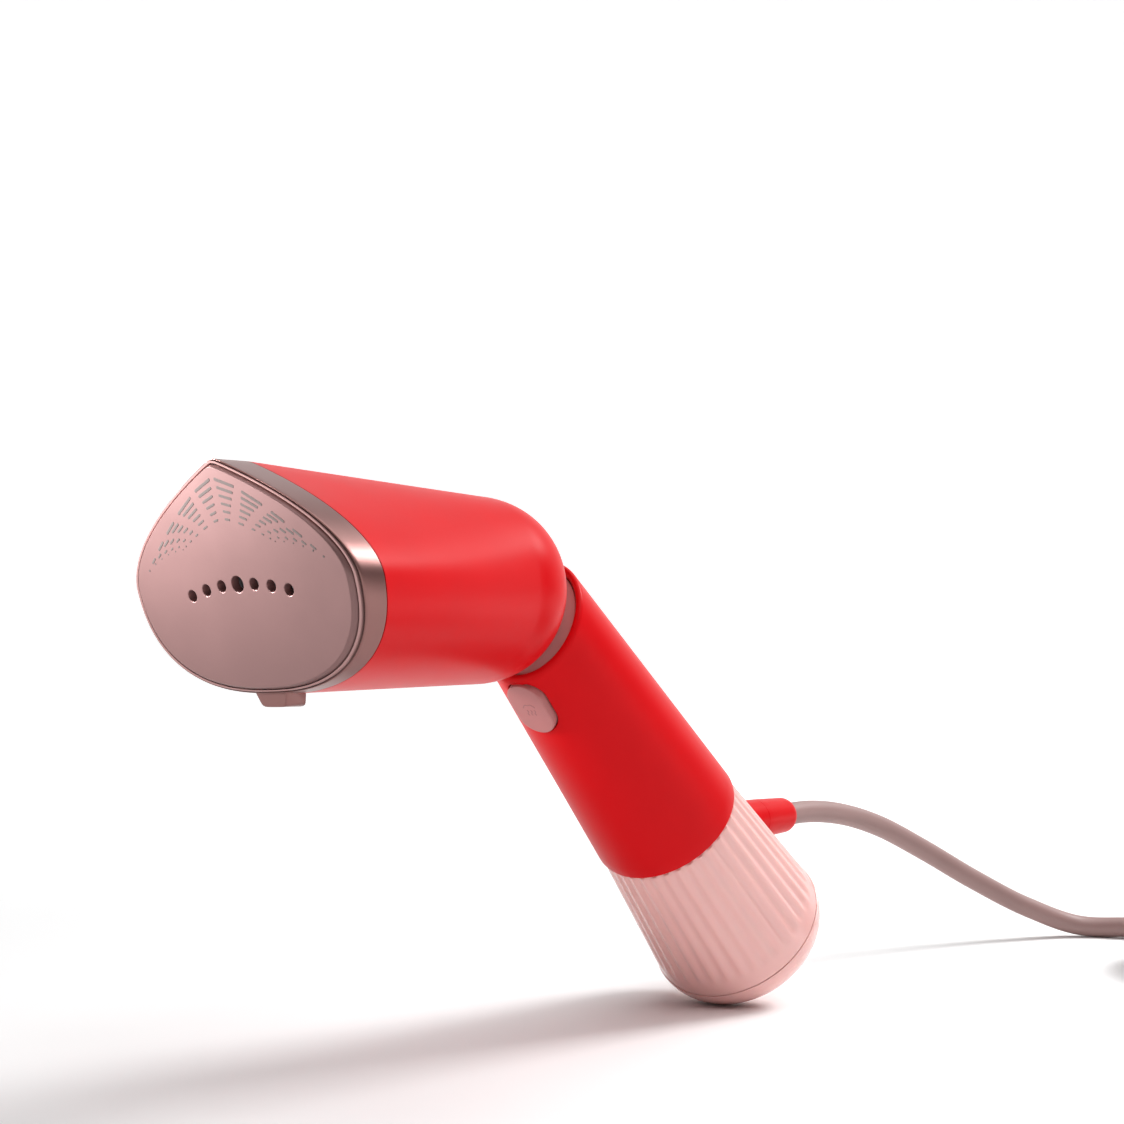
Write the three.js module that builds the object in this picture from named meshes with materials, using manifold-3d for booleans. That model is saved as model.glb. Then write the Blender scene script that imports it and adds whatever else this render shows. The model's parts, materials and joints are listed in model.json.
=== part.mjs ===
// Hand-held garment steamer: a drop-shaped steam head on a round barrel, joined by a slanted
// swivel to a tapered handle with a ribbed water tank at its foot and a mains cord at its back.
// Millimetres. The origin is the middle of the grip, on the handle's own axis. X runs across the
// object, the steam plate faces -Y, +Z is up, and X = 0 is the plane of symmetry.
import * as THREE from "three";
import { mergeVertices } from "three/addons/utils/BufferGeometryUtils.js";
import Module from "manifold-3d";

const wasm = await Module();
wasm.setup();

// ---- Driving dimensions ----

// How the head, swivel and handle stand to each other.
const bendAngle = 43.7; // degrees between the barrel's axis and the handle's axis
const gripToBend = 61.2; // grip centre to the point where the two axes cross
const barrelLength = 102.6; // that crossing point to the middle steam hole
const swivelFace = 9.6; // crossing point to the handle's slanted mouth, along the swivel axis

// Steam plate: a rounded drop, its point up, leaning forward at the top.
const plateLean = 17; // degrees
const plateDrop = 1.2; // the middle steam hole below the barrel's axis
const plateHalfWidth = 37;
const plateRise = 29; // middle hole to the point of the drop
const plateFall = 25.8; // middle hole to the lowest edge
const shoulderPower = 1.8; // how full the two upper sides are
const chinPower = 2.4; // how square the lower half is
const plateThick = 2.6;
const plateBevel = 1.2;
const holeCount = 7;
const holePitch = 5.85;
const holeArcRadius = 71;
const holeRadius = 1.5;
const middleHoleRadius = 2.05;

// Rings round the plate. The bezel runs straight back, and its rear edge leans less than the plate.
const fitGap = 0.3;
const trimWidth = 0.9;
const trimSetBack = 0.9;
const bezelLip = 0.5;
const bezelSetBack = 1.5;
const bezelDepth = 8.3; // middle hole to the bezel's rear edge, along the barrel
const bezelLean = 10.3; // degrees
const bezelFlare = 0.5;
const tabWidth = 12;
const tabDepth = 7;
const tabDrop = 3.8;

// Barrel.
const barrelWall = 2.2;
const domeRadius = 26.3; // the barrel's round rear end
const domeLength = 25.5;
const domePower = 2.25; // 2 would be a ball, more is squarer
const domeBack = 18.9; // where the dome starts, ahead of the crossing point

// Swivel neck and its collar.
const neckRadius = 8;
const neckBore = 5.2;
const neckInside = 17;
const neckPast = 8.4;
const flangeRadius = 12;
const flangeThick = 2;
const collarThick = 3;
const collarSetBack = 1.1;
const ringThick = 1.8;
const ringWidth = 1.9;

// Handle: a slim cone, thicker towards the tank.
const gripRadius = 21.6; // at the origin
const gripTaper = 0.075; // growth of the radius for each millimetre towards the tank
const handleWall = 2.3;
const gripToRim = 40.7; // grip centre to the handle's lower rim
const spineWidth = 11.4; // the rib behind the tank that brings the cord down
const spineThick = 3.9;
const spineLength = 46;
const spineRise = 24; // how far above the rim the rib starts to stand out
const bossStandOff = 2.6; // how far the cord's boss stands out past the spine

// Steam button.
const buttonUp = 32.8; // above the grip centre
const buttonLength = 18.6;
const buttonWidth = 12.4;
const buttonProud = 0.9;
const buttonTravel = 1.8;
const stemRadius = 2.4;
const stemLength = 4.2;

// Water tank.
const tankTopRadius = 23.9;
const tankLength = 56; // lower rim to the base seam
const tankBaseRadius = 29.7; // at the base seam
const tankWall = 1.6;
const fluteCount = 36;
const fluteDepth = 0.7;
const fluteEnd = 6; // plain band left between the flutes and the base seam
const baseDepth = 15;
const neckTankRadius = 14;
const neckTankHeight = 7;
const valveRadius = 3.2;

// Cord.
const cordDiameter = 8;
const reliefLength = 20.5;
const reliefRootRadius = 6.8;
const reliefTipRadius = 6.2;
const coilTurnRadius = 40; // middle of the coil's turns
const coilWidth = 18.5;
const coilHeight = 33.4;
const tieWidth = 12;
const tieThick = 1.2;
const plugLength = 38;
const plugRadius = 13;
const pinRadius = 2.4;
const pinLength = 19;
const pinSpacing = 19;

// ---- Materials ----

function finish(color, roughness, metalness) {
  return () => new THREE.MeshStandardMaterial({ color, roughness, metalness });
}
const redPlastic = finish(0xd3141c, 0.42, 0);
const rosePlastic = finish(0xc89a98, 0.4, 0);
const roseMetal = finish(0xb98a89, 0.34, 0.75);
const roseClear = finish(0xe9bdb8, 0.25, 0);
const castMetal = finish(0xb4b6b8, 0.45, 0.9);
const steel = finish(0xc7c9cc, 0.3, 1);
const whitePlastic = finish(0xe6e3df, 0.5, 0);
const blackPlastic = finish(0x242427, 0.5, 0);
const silicone = finish(0xd9cfc8, 0.6, 0);
const boardGreen = finish(0x2c6b3f, 0.5, 0);
const copper = finish(0xc07a4a, 0.35, 1);
const cordRose = finish(0xb58e8a, 0.6, 0);

// ---- Tools for shapes ----

function closed(geometry) {
  const plain = geometry.clone();
  plain.deleteAttribute("normal");
  plain.deleteAttribute("uv");
  return mergeVertices(plain, 1e-4);
}

function toSolid(geometry) {
  const merged = closed(geometry);
  return new wasm.Manifold(
    new wasm.Mesh({
      numProp: 3,
      vertProperties: new Float32Array(merged.attributes.position.array),
      triVerts: new Uint32Array(merged.index.array),
    }),
  );
}

function fromSolid(solid) {
  const made = solid.getMesh();
  const geometry = new THREE.BufferGeometry();
  const positions = new Float32Array(made.numVert * 3);
  for (let i = 0; i < made.numVert; i += 1) {
    for (let k = 0; k < 3; k += 1) {
      positions[3 * i + k] = made.vertProperties[i * made.numProp + k];
    }
  }
  geometry.setAttribute("position", new THREE.BufferAttribute(positions, 3));
  geometry.setIndex(new THREE.BufferAttribute(new Uint32Array(made.triVerts), 1));
  geometry.computeVertexNormals();
  return geometry;
}

function cut(body, ...tools) {
  return fromSolid(tools.reduce((left, tool) => left.subtract(toSolid(tool)), toSolid(body)));
}

function join(body, ...others) {
  return fromSolid(others.reduce((sum, other) => sum.add(toSolid(other)), toSolid(body)));
}

function common(body, ...others) {
  return fromSolid(others.reduce((rest, other) => rest.intersect(toSolid(other)), toSolid(body)));
}

// A body of revolution about Z from [radius, z] points that run upwards and close on the axis.
function turned(points, sides = 40) {
  const profile = points.map(([r, z]) => new THREE.Vector2(r, z));
  return new THREE.LatheGeometry(profile, sides).rotateX(Math.PI / 2);
}

function rod(radius, low, high, sides = 40) {
  return turned([[0, low], [radius, low], [radius, high], [0, high]], sides);
}

// A ring about Z: its section is a rectangle.
function ring(inner, outer, low, high, sides = 40) {
  return turned([[inner, low], [outer, low], [outer, high], [inner, high], [inner, low]], sides);
}

function block(width, depth, height, x = 0, y = 0, z = 0) {
  return new THREE.BoxGeometry(width, depth, height).translate(x, y, z);
}

// An outline in X and Y, pushed up Z.
function slab(outline, low, high, holes = []) {
  const shape = new THREE.Shape(outline);
  shape.holes = holes.map((hole) => new THREE.Path(hole));
  const geometry = new THREE.ExtrudeGeometry(shape, { depth: high - low, bevelEnabled: false });
  return geometry.translate(0, 0, low);
}

function circleOutline(radius, x = 0, y = 0, sides = 14) {
  return Array.from({ length: sides }, (_, i) => {
    const a = (2 * Math.PI * i) / sides;
    return new THREE.Vector2(x + radius * Math.cos(a), y + radius * Math.sin(a));
  });
}

function stadiumOutline(length, width, sides = 8) {
  const half = length / 2 - width / 2;
  const points = [];
  for (let i = 0; i <= sides; i += 1) {
    const a = (Math.PI * i) / sides;
    points.push(new THREE.Vector2((width / 2) * Math.cos(a), half + (width / 2) * Math.sin(a)));
  }
  for (let i = 0; i <= sides; i += 1) {
    const a = Math.PI + (Math.PI * i) / sides;
    points.push(new THREE.Vector2((width / 2) * Math.cos(a), -half + (width / 2) * Math.sin(a)));
  }
  return points;
}

// A round tube of the given radius along a smooth curve through the points.
function tube(points, radius, steps, sides = 8) {
  const path = new THREE.CatmullRomCurve3(points.map((p) => new THREE.Vector3(...p)));
  const shape = new THREE.Shape(circleOutline(radius, 0, 0, sides));
  return new THREE.ExtrudeGeometry(shape, { steps, bevelEnabled: false, extrudePath: path });
}

// A closed skin over sections that all have the same number of points, front section first.
function loft(sections) {
  const count = sections[0].length;
  const positions = sections.flat().flatMap((p) => [p.x, p.y, p.z]);
  const index = [];
  for (let s = 0; s + 1 < sections.length; s += 1) {
    for (let i = 0; i < count; i += 1) {
      const a = s * count + i;
      const b = s * count + ((i + 1) % count);
      index.push(a, b + count, b, a, a + count, b + count);
    }
  }
  for (const [first, forward] of [[0, true], [(sections.length - 1) * count, false]]) {
    const middle = new THREE.Vector3();
    for (let i = 0; i < count; i += 1) {
      middle.add(new THREE.Vector3().fromArray(positions, 3 * (first + i)).divideScalar(count));
    }
    const hub = positions.length / 3;
    positions.push(middle.x, middle.y, middle.z);
    for (let i = 0; i < count; i += 1) {
      const a = first + i;
      const b = first + ((i + 1) % count);
      index.push(...(forward ? [a, b, hub] : [b, a, hub]));
    }
  }
  const geometry = new THREE.BufferGeometry();
  geometry.setAttribute("position", new THREE.Float32BufferAttribute(positions, 3));
  geometry.setIndex(index);
  return geometry;
}

function piece(group, name, geometry, material) {
  const mesh = new THREE.Mesh(geometry, material());
  mesh.name = name;
  group.add(mesh);
  return mesh;
}

// ---- Frames ----

const radians = Math.PI / 180;
const bend = bendAngle * radians;
const steamer = new THREE.Group();

// The handle's frame: its +Z runs up the handle to the bend, and its -Y is the button side.
const handle = new THREE.Group();
handle.rotation.x = Math.PI / 2 - bend;
steamer.add(handle);

// The head's frame: level, with its origin where the two axes cross.
const head = new THREE.Group();
head.position.set(0, -gripToBend * Math.cos(bend), gripToBend * Math.sin(bend));
steamer.add(head);

// The swivel's frame, seen from the head: its +Z runs down into the handle, square to the mouth.
const swivel = new THREE.Group();
swivel.rotation.x = -Math.PI / 2 - bend / 2;
head.add(swivel);

// The plate's frame: origin on the middle steam hole, +Z out of the plate, +Y up its face.
const face = new THREE.Group();
face.position.set(0, -barrelLength, -plateDrop);
face.rotation.x = Math.PI / 2 + plateLean * radians;
head.add(face);
steamer.updateMatrixWorld(true);

function placedIn(group, other, geometry) {
  const matrix = new THREE.Matrix4().copy(other.matrixWorld).invert().multiply(group.matrixWorld);
  return geometry.clone().applyMatrix4(matrix);
}

// ---- The drop outline ----

const quarter = 11;
const pointGrowth = 0.72; // the rings round the plate are thinner at its point
const chinGrowth = 0.5; // and at its lowest edge

// The plate's outline moved outward by grow, as points that run anticlockwise from the right.
function drop(grow) {
  const half = plateHalfWidth + grow;
  const rise = plateRise + pointGrowth * grow;
  const fall = plateFall + chinGrowth * grow;
  const right = [];
  for (let i = 0; i <= quarter; i += 1) {
    const up = Math.sin((Math.PI / 2) * (i / quarter));
    right.push(new THREE.Vector2(half * (1 - up ** shoulderPower), rise * up));
  }
  const lower = [];
  for (let i = 1; i <= quarter; i += 1) {
    const a = (Math.PI / 2) * (i / quarter);
    const x = half * Math.max(0, Math.cos(a)) ** (2 / chinPower);
    lower.push(new THREE.Vector2(i === quarter ? 0 : x, -fall * Math.sin(a) ** (2 / chinPower)));
  }
  const left = [...right].slice(0, -1).reverse().map((p) => new THREE.Vector2(-p.x, p.y));
  const lowerLeft = lower.slice(0, -1).map((p) => new THREE.Vector2(-p.x, p.y));
  return [...right, ...left, ...lowerLeft, ...[...lower].reverse()];
}

// The same points on a circle, so that the barrel can grow from one into the other.
function round(radius) {
  const points = [];
  for (let i = 0; i < 4 * quarter; i += 1) {
    const a = (Math.PI / 2) * (i / quarter);
    points.push(new THREE.Vector2(radius * Math.cos(a), radius * Math.sin(a)));
  }
  return points;
}

const trimInner = plateBevel + fitGap;
const trimOuter = trimInner + trimWidth;
const bezelInner = trimOuter + fitGap;
const bezelOuter = bezelInner + bezelLip;
const barrelGrow = bezelOuter + bezelFlare;

// ---- Head: plate, trim, bezel ----

function holePlaces() {
  const step = holePitch / holeArcRadius;
  return Array.from({ length: holeCount }, (_, i) => {
    const a = (i - (holeCount - 1) / 2) * step;
    const r = i === (holeCount - 1) / 2 ? middleHoleRadius : holeRadius;
    return { x: holeArcRadius * Math.sin(a), y: holeArcRadius * (Math.cos(a) - 1), r };
  });
}

// A drop outline parallel to the plate, set straight back along the barrel, in the head's frame.
function dropAt(grow, back) {
  const lean = plateLean * radians;
  return drop(grow).map((p) => {
    const y = -barrelLength - p.y * Math.sin(lean) + back;
    return new THREE.Vector3(p.x, y, p.y * Math.cos(lean) - plateDrop);
  });
}

// A drop outline set back to the bezel's rear edge, which leans less.
function dropRear(grow, extra) {
  const lean = plateLean * radians;
  return drop(grow).map((p) => {
    const z = p.y * Math.cos(lean) - plateDrop;
    const y = -barrelLength + bezelDepth + extra - z * Math.tan(bezelLean * radians);
    return new THREE.Vector3(p.x, y, z);
  });
}

function steamPlate() {
  const body = loft([
    dropAt(0, 0),
    dropAt(plateBevel, plateBevel),
    dropAt(plateBevel, plateThick),
  ]);
  const holes = holePlaces().map(({ x, y, r }) => {
    return placedIn(face, head, rod(r, -9, 9, 12).translate(x, y, 0));
  });
  return cut(body, ...holes);
}

function plateTrim() {
  const rear = trimSetBack + 2.6;
  const outer = loft([dropAt(trimOuter, trimSetBack), dropAt(trimOuter, rear)]);
  return cut(outer, loft([dropAt(trimInner, -1), dropAt(trimInner, rear + 1)]));
}

function bezel() {
  const outer = loft([
    dropAt(bezelOuter - 0.3, bezelSetBack),
    dropAt(bezelOuter, bezelSetBack + 0.5),
    dropRear(barrelGrow, 0),
  ]);
  const inner = loft([dropAt(bezelInner, -2), dropRear(bezelInner, 2)]);
  const top = -plateFall - chinGrowth * bezelOuter + 1.2;
  const low = top - 1.2 - tabDrop;
  const tabOutline = [
    new THREE.Vector2(-tabWidth / 2, top),
    new THREE.Vector2(-tabWidth / 2 + 1.8, low),
    new THREE.Vector2(tabWidth / 2 - 1.8, low),
    new THREE.Vector2(tabWidth / 2, top),
  ];
  const tab = placedIn(face, head, slab(tabOutline, -bezelSetBack - tabDepth, -bezelSetBack - 0.6));
  return cut(join(outer, cut(tab, barrelBody(-fitGap, 0))), inner);
}

piece(head, "steam_plate", steamPlate(), roseMetal);
piece(head, "plate_trim", plateTrim(), rosePlastic);
piece(head, "bezel", bezel(), roseMetal);

// ---- Head: barrel ----

// One section of the barrel: share 0 is the drop at the bezel, share 1 the circle at the dome.
function barrelSection(share, inset, extra) {
  const front = dropRear(barrelGrow - inset, extra);
  const rear = round(domeRadius - inset);
  return front.map((p, i) => new THREE.Vector3(
    p.x + (rear[i].x - p.x) * share,
    p.y + (-domeBack - p.y) * share,
    p.z + (rear[i].y - p.z) * share,
  ));
}

function barrelBody(inset, extra) {
  const sections = [];
  for (let i = 0; i <= 3; i += 1) {
    sections.push(barrelSection(i / 3, inset, extra));
  }
  for (let i = 1; i <= 7; i += 1) {
    const a = (Math.PI / 2) * (i / 7.3);
    const points = round((domeRadius - inset) * Math.cos(a) ** (2 / domePower));
    const y = -domeBack + (domeLength - inset) * Math.sin(a) ** (2 / domePower);
    sections.push(points.map((p) => new THREE.Vector3(p.x, y, p.y)));
  }
  return loft(sections);
}

function headHousing() {
  const outer = barrelBody(0, fitGap);
  const inner = barrelBody(barrelWall, fitGap - 2);
  const hole = placedIn(swivel, head, rod(neckRadius + fitGap, -2, swivelFace + 5));
  return cut(outer, inner, hole);
}
piece(head, "head_housing", headHousing(), redPlastic);

// ---- Head: steam chamber behind the plate ----

const chamberInset = 4.5;
const sealThick = 1.2;
const chamberFront = plateThick + sealThick + 2 * fitGap;
const chamberDepth = 13;
const floorDepth = 5.5; // depth of the steam space open to the plate
const chamberRim = 4.5;
const chamberRear = chamberFront + chamberDepth;
const chamberBack = -chamberRear * Math.cos(plateLean * radians);
const inletUp = 12;

function steamChamber() {
  const body = loft([dropAt(-chamberInset, chamberFront), dropAt(-chamberInset - 1, chamberRear)]);
  const space = loft([
    dropAt(-chamberInset - chamberRim, chamberFront - 1),
    dropAt(-chamberInset - chamberRim, chamberFront + floorDepth),
  ]);
  const inlet = placedIn(face, head, rod(2.6, chamberBack - 1, -1, 14).translate(0, inletUp, 0));
  return cut(body, space, inlet);
}
piece(head, "steam_chamber", steamChamber(), castMetal);

function chamberSeal() {
  const near = plateThick + fitGap;
  const inner = -chamberInset - chamberRim + 0.5;
  const outer = loft([dropAt(-chamberInset - 0.6, near), dropAt(-chamberInset - 0.6, near + sealThick)]);
  return cut(outer, loft([dropAt(inner, near - 1), dropAt(inner, near + sealThick + 1)]));
}
piece(head, "chamber_seal", chamberSeal(), silicone);

function heater() {
  const z = chamberBack - fitGap - 3.4;
  const points = [];
  points.push([-16, 7, z], [-18, -2, z], [-14, -11, z], [0, -14, z]);
  points.push([14, -11, z], [18, -2, z], [16, 7, z]);
  return tube(points, 3.2, 22, 8);
}
piece(face, "heating_element", heater(), steel);

const cutoutRadius = 6.5;
function thermostat() {
  const z = chamberBack - fitGap;
  return join(rod(cutoutRadius, z - 5, z, 20), block(3, 9, 3, 0, 0, z - 6));
}
piece(face, "thermostat", thermostat().translate(0, -1, 0), blackPlastic);
const fuse = rod(1.7, -5, 5, 12).rotateX(Math.PI / 2);
piece(face, "thermal_fuse", fuse.translate(10.4, -1, chamberBack - fitGap - 2), whitePlastic);

const shieldThick = 1.2;
const shieldAt = chamberRear + 9.5;
function heatShield() {
  const grow = -chamberInset - 2.5;
  const plate = loft([dropAt(grow, shieldAt), dropAt(grow, shieldAt + shieldThick)]);
  return cut(plate, placedIn(face, head, rod(3.6, -60, 0, 16).translate(0, inletUp, 0)));
}
piece(head, "heat_shield", heatShield(), whitePlastic);

function chamberPost(x, y) {
  const high = chamberBack - fitGap;
  return rod(1.6, high - 8.4, high, 10).translate(x, y, 0);
}
[[-24, 3], [24, 3], [0, -20]].forEach(([x, y], i) => {
  piece(face, `shield_post_${i + 1}`, chamberPost(x, y), steel);
});

// The water line: a silicone hose from the neck's middle to the chamber's inlet.
function steamHose() {
  const from = new THREE.Vector3(0, inletUp, chamberBack - 0.4).applyMatrix4(face.matrixWorld);
  const way = [from.clone()];
  way.push(new THREE.Vector3(0, inletUp, chamberBack - 14).applyMatrix4(face.matrixWorld));
  way.push(new THREE.Vector3(0, 0, -neckInside - 8).applyMatrix4(swivel.matrixWorld));
  way.push(new THREE.Vector3(0, 0, swivelFace + neckPast - 1).applyMatrix4(swivel.matrixWorld));
  return tube(way.map((p) => p.toArray()), 2.2, 18, 8);
}
piece(steamer, "head_hose", steamHose(), silicone);

// ---- Swivel: neck fixed in the dome, collar fixed in the handle ----

function swivelNeck() {
  const low = swivelFace - neckInside - 3;
  const high = swivelFace + neckPast;
  return turned([
    [neckBore, low],
    [flangeRadius, low],
    [flangeRadius, low + flangeThick],
    [neckRadius, low + flangeThick],
    [neckRadius, high],
    [neckBore, high],
    [neckBore, low],
  ], 32);
}
piece(swivel, "swivel_neck", swivelNeck(), rosePlastic);

const mouthBack = swivelFace + collarSetBack + collarThick;
function neckRing() {
  const low = mouthBack + fitGap;
  return ring(neckRadius + 0.3, neckRadius + ringWidth, low, low + ringThick, 32);
}
piece(swivel, "neck_ring", neckRing(), steel);

// Handle cone as a solid, radius reduced by inset, between two heights of the handle's frame.
const radiusAt = (z) => gripRadius - gripTaper * z;
const coneTop = gripToBend + 12;
function cone(inset, low, high, sides = 44) {
  return turned([
    [0, low],
    [radiusAt(low) - inset, low],
    [radiusAt(high) - inset, high],
    [0, high],
  ], sides);
}

// Everything on the handle's side of a plane square to the swivel axis.
function beyondMouth(setBack, until = 300) {
  const span = until - setBack;
  return placedIn(swivel, handle, block(200, 200, span, 0, 0, swivelFace + setBack + span / 2));
}

function swivelCollar() {
  const disc = common(
    cone(handleWall + fitGap, 0, coneTop),
    beyondMouth(collarSetBack, collarSetBack + collarThick),
  );
  const bore = rod(neckRadius + 0.3, swivelFace - 4, swivelFace + 20, 32);
  const notch = buttonBody(fitGap, buttonDeep + buttonTravel + 0.5);
  return cut(disc, placedIn(swivel, handle, bore), notch);
}

// ---- Handle ----

const tankFlare = (tankBaseRadius - tankTopRadius) / tankLength;
const tankRadiusAt = (z) => tankTopRadius + tankFlare * (-gripToRim - z);
const spineClear = 0.5;

function tankCone(grow, low, high, sides = 44) {
  return turned([
    [0, low],
    [tankRadiusAt(low) + grow, low],
    [tankRadiusAt(high) + grow, high],
    [0, high],
  ], sides);
}

// Where the cord leaves: on the spine, with its axis level in the object's frame.
const exitBelow = gripToRim + spineLength - 6;
const spineOuter = tankRadiusAt(-exitBelow) + spineClear + spineThick - 0.6;
const exitPoint = new THREE.Vector3(0, spineOuter, -exitBelow).applyMatrix4(handle.matrixWorld);
exitPoint.y += bossStandOff;

function level(geometry) {
  // Turns a body made along +Z to lie along the object's +Y, starting at the cord's exit point.
  return geometry.rotateX(-Math.PI / 2).translate(0, exitPoint.y, exitPoint.z);
}

function spine() {
  const low = -gripToRim - spineLength - 4;
  const high = -gripToRim + spineRise;
  const wide = block(spineWidth, 60, high - low, 0, 30, (high + low) / 2);
  const outer = tankRadiusAt(low) + spineClear + spineThick;
  const rib = common(turned([[0, low], [outer, low], [radiusAt(high) - 0.4, high], [0, high]]), wide);
  const boss = placedIn(steamer, handle, level(rod(reliefRootRadius + 0.2, -14, 0, 24)));
  return cut(join(rib, boss), tankCone(spineClear, low - 3, high + 3));
}

// The two mains wires run up a groove in the spine's inner side, from the boss to the clamp.
const grooveDeep = 2.2;
const leadThick = 1.5;
function groove(width, near, far, low, high) {
  const wide = block(width, 60, high - low, 0, 30, (high + low) / 2);
  return cut(common(tankCone(far, low, high), wide), tankCone(near, low - 3, high + 3));
}

function handleHousing() {
  const outer = common(cone(0, -gripToRim, coneTop), beyondMouth(0));
  const body = join(outer, spine());
  const inside = cone(handleWall, -gripToRim - 0.01, coneTop + 1);
  const pocket = placedIn(steamer, handle, level(rod(cordDiameter / 2 + 0.3, -3.6, 1, 20)));
  const channel = groove(9, 0, spineClear + grooveDeep, -exitBelow - 1, -gripToRim + 8);
  const seat = placedIn(steamer, handle, level(rod(reliefRootRadius + fitGap, 0, 60, 24)));
  const ringRoom = rod(neckRadius + ringWidth + fitGap, mouthBack, mouthBack + ringThick + 2 * fitGap, 32);
  return cut(body, inside, buttonBody(fitGap, 12), pocket, channel, seat, placedIn(swivel, handle, ringRoom));
}

// The button lies square to the handle's front line, which slopes with the cone.
const slope = Math.atan(gripTaper);
const buttonDeep = handleWall - 0.1; // no thicker than the wall it sits in
function onFront(geometry) {
  // From a body with its face towards +Z to the handle's front at the button's height.
  return geometry
    .rotateX(Math.PI / 2 - slope)
    .translate(0, -radiusAt(buttonUp), buttonUp);
}
function buttonBody(grow, deep) {
  const outline = stadiumOutline(buttonLength + 2 * grow, buttonWidth + 2 * grow);
  return onFront(slab(outline, -deep, buttonProud + (grow ? 3 : 0)));
}
function steamButton() {
  const stem = onFront(rod(stemRadius, -buttonDeep - stemLength, -buttonDeep + 1, 14));
  return join(buttonBody(0, buttonDeep), stem);
}
piece(handle, "handle_housing", handleHousing(), redPlastic);
piece(handle, "steam_button", steamButton(), rosePlastic);
piece(handle, "swivel_collar", swivelCollar(), rosePlastic);

// Return spring round the button's stem, at the length it has with the button pressed.
const springRadius = 4.2;
const springWire = 0.45;
const springTurns = 2.5;
const switchTop = -buttonDeep - stemLength - buttonTravel - 0.3;
function buttonSpring() {
  const low = switchTop + springWire + 0.4;
  const high = -buttonDeep - buttonTravel - springWire - 0.3;
  const points = [];
  for (let i = 0; i <= springTurns * 8; i += 1) {
    const a = (2 * Math.PI * i) / 8;
    const z = low + ((high - low) * i) / (springTurns * 8);
    points.push([springRadius * Math.cos(a), springRadius * Math.sin(a), z]);
  }
  return onFront(tube(points, springWire, springTurns * 12, 6));
}
piece(handle, "button_spring", buttonSpring(), steel);
piece(handle, "micro_switch", onFront(block(8, 16, 5, 0, 0, switchTop - 2.5)), blackPlastic);

// Frame that carries the pump, board and switch inside the handle.
const frameWidth = 24;
const frameTop = 20;
const socketTop = -gripToRim + neckTankHeight + 2.4;
const frameLow = socketTop + 2.7;
piece(handle, "inner_frame", block(frameWidth, 2, frameTop - frameLow, 0, 3, (frameTop + frameLow) / 2),
  whitePlastic);
piece(handle, "control_board", block(20, 1.6, 40, 0, 7.6, -6), boardGreen);
piece(handle, "board_relay", block(10, 5, 12, 0, 11.3, -12), blackPlastic);

// Pump: a small solenoid pump on the frame's front.
const pumpRadius = 7;
function pumpBody() {
  const coil = rod(pumpRadius, -18, 4, 24);
  const ends = rod(3, -23, 9, 16);
  return join(coil, ends).translate(0, -6.4, 0);
}
piece(handle, "pump", pumpBody(), blackPlastic);
piece(handle, "pump_bracket", cut(
  block(17, 16.4, 3, 0, -6.6, -7),
  rod(pumpRadius + fitGap, -20, 20, 24).translate(0, -6.4, 0),
), steel);

function pumpHose() {
  const start = new THREE.Vector3(0, -6.4, 9.5).applyMatrix4(handle.matrixWorld);
  const end = new THREE.Vector3(0, 0, swivelFace + neckPast + 0.5).applyMatrix4(swivel.matrixWorld);
  const near = new THREE.Vector3(0, 0, swivelFace + neckPast + 8).applyMatrix4(swivel.matrixWorld);
  const mid = new THREE.Vector3(0, -2, 26).applyMatrix4(handle.matrixWorld);
  return tube([start, mid, near, end].map((p) => p.toArray()), 2.2, 14, 8);
}
piece(steamer, "pump_hose", pumpHose(), silicone);

// Socket at the handle's foot that takes the tank's neck, with its seal.
const socketInner = neckTankRadius + 0.6;
const socketWall = 2;
function tankSocket() {
  const low = -gripToRim + 1.2;
  const outer = cone(handleWall + fitGap, low, socketTop + 2, 36);
  const hollow = rod(socketInner, low - 1, socketTop, 36);
  const port = rod(1.7, socketTop - 1, socketTop + 4, 12);
  return cut(outer, hollow, port);
}
piece(handle, "tank_socket", tankSocket(), whitePlastic);
piece(handle, "intake_hose", tube([
  [0, 0, socketTop + 2.4],
  [0, -1, socketTop + 5],
  [0, -5.4, -26.4],
  [0, -6.4, -23.6],
], 1.5, 6, 8), silicone);
piece(handle, "tank_seal", new THREE.TorusGeometry(valveRadius + 1.8, 0.8, 8, 20)
  .translate(0, 0, socketTop - 0.8 - 0.3), silicone);

// ---- Cord entry ----

function strainRelief() {
  const body = turned([
    [0, fitGap],
    [reliefRootRadius, fitGap],
    [reliefTipRadius, reliefLength - 1.6],
    [reliefTipRadius - 1.2, reliefLength],
    [0, reliefLength],
  ], 24);
  return level(body);
}
piece(steamer, "strain_relief", strainRelief(), redPlastic);
piece(handle, "mains_lead", groove(
  6.4, spineClear + 0.4, spineClear + 0.4 + leadThick, -exitBelow, -gripToRim + 3,
), blackPlastic);

// ---- Water tank ----

const tankTop = -gripToRim - 0.6;
const seam = -gripToRim - tankLength;

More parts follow.
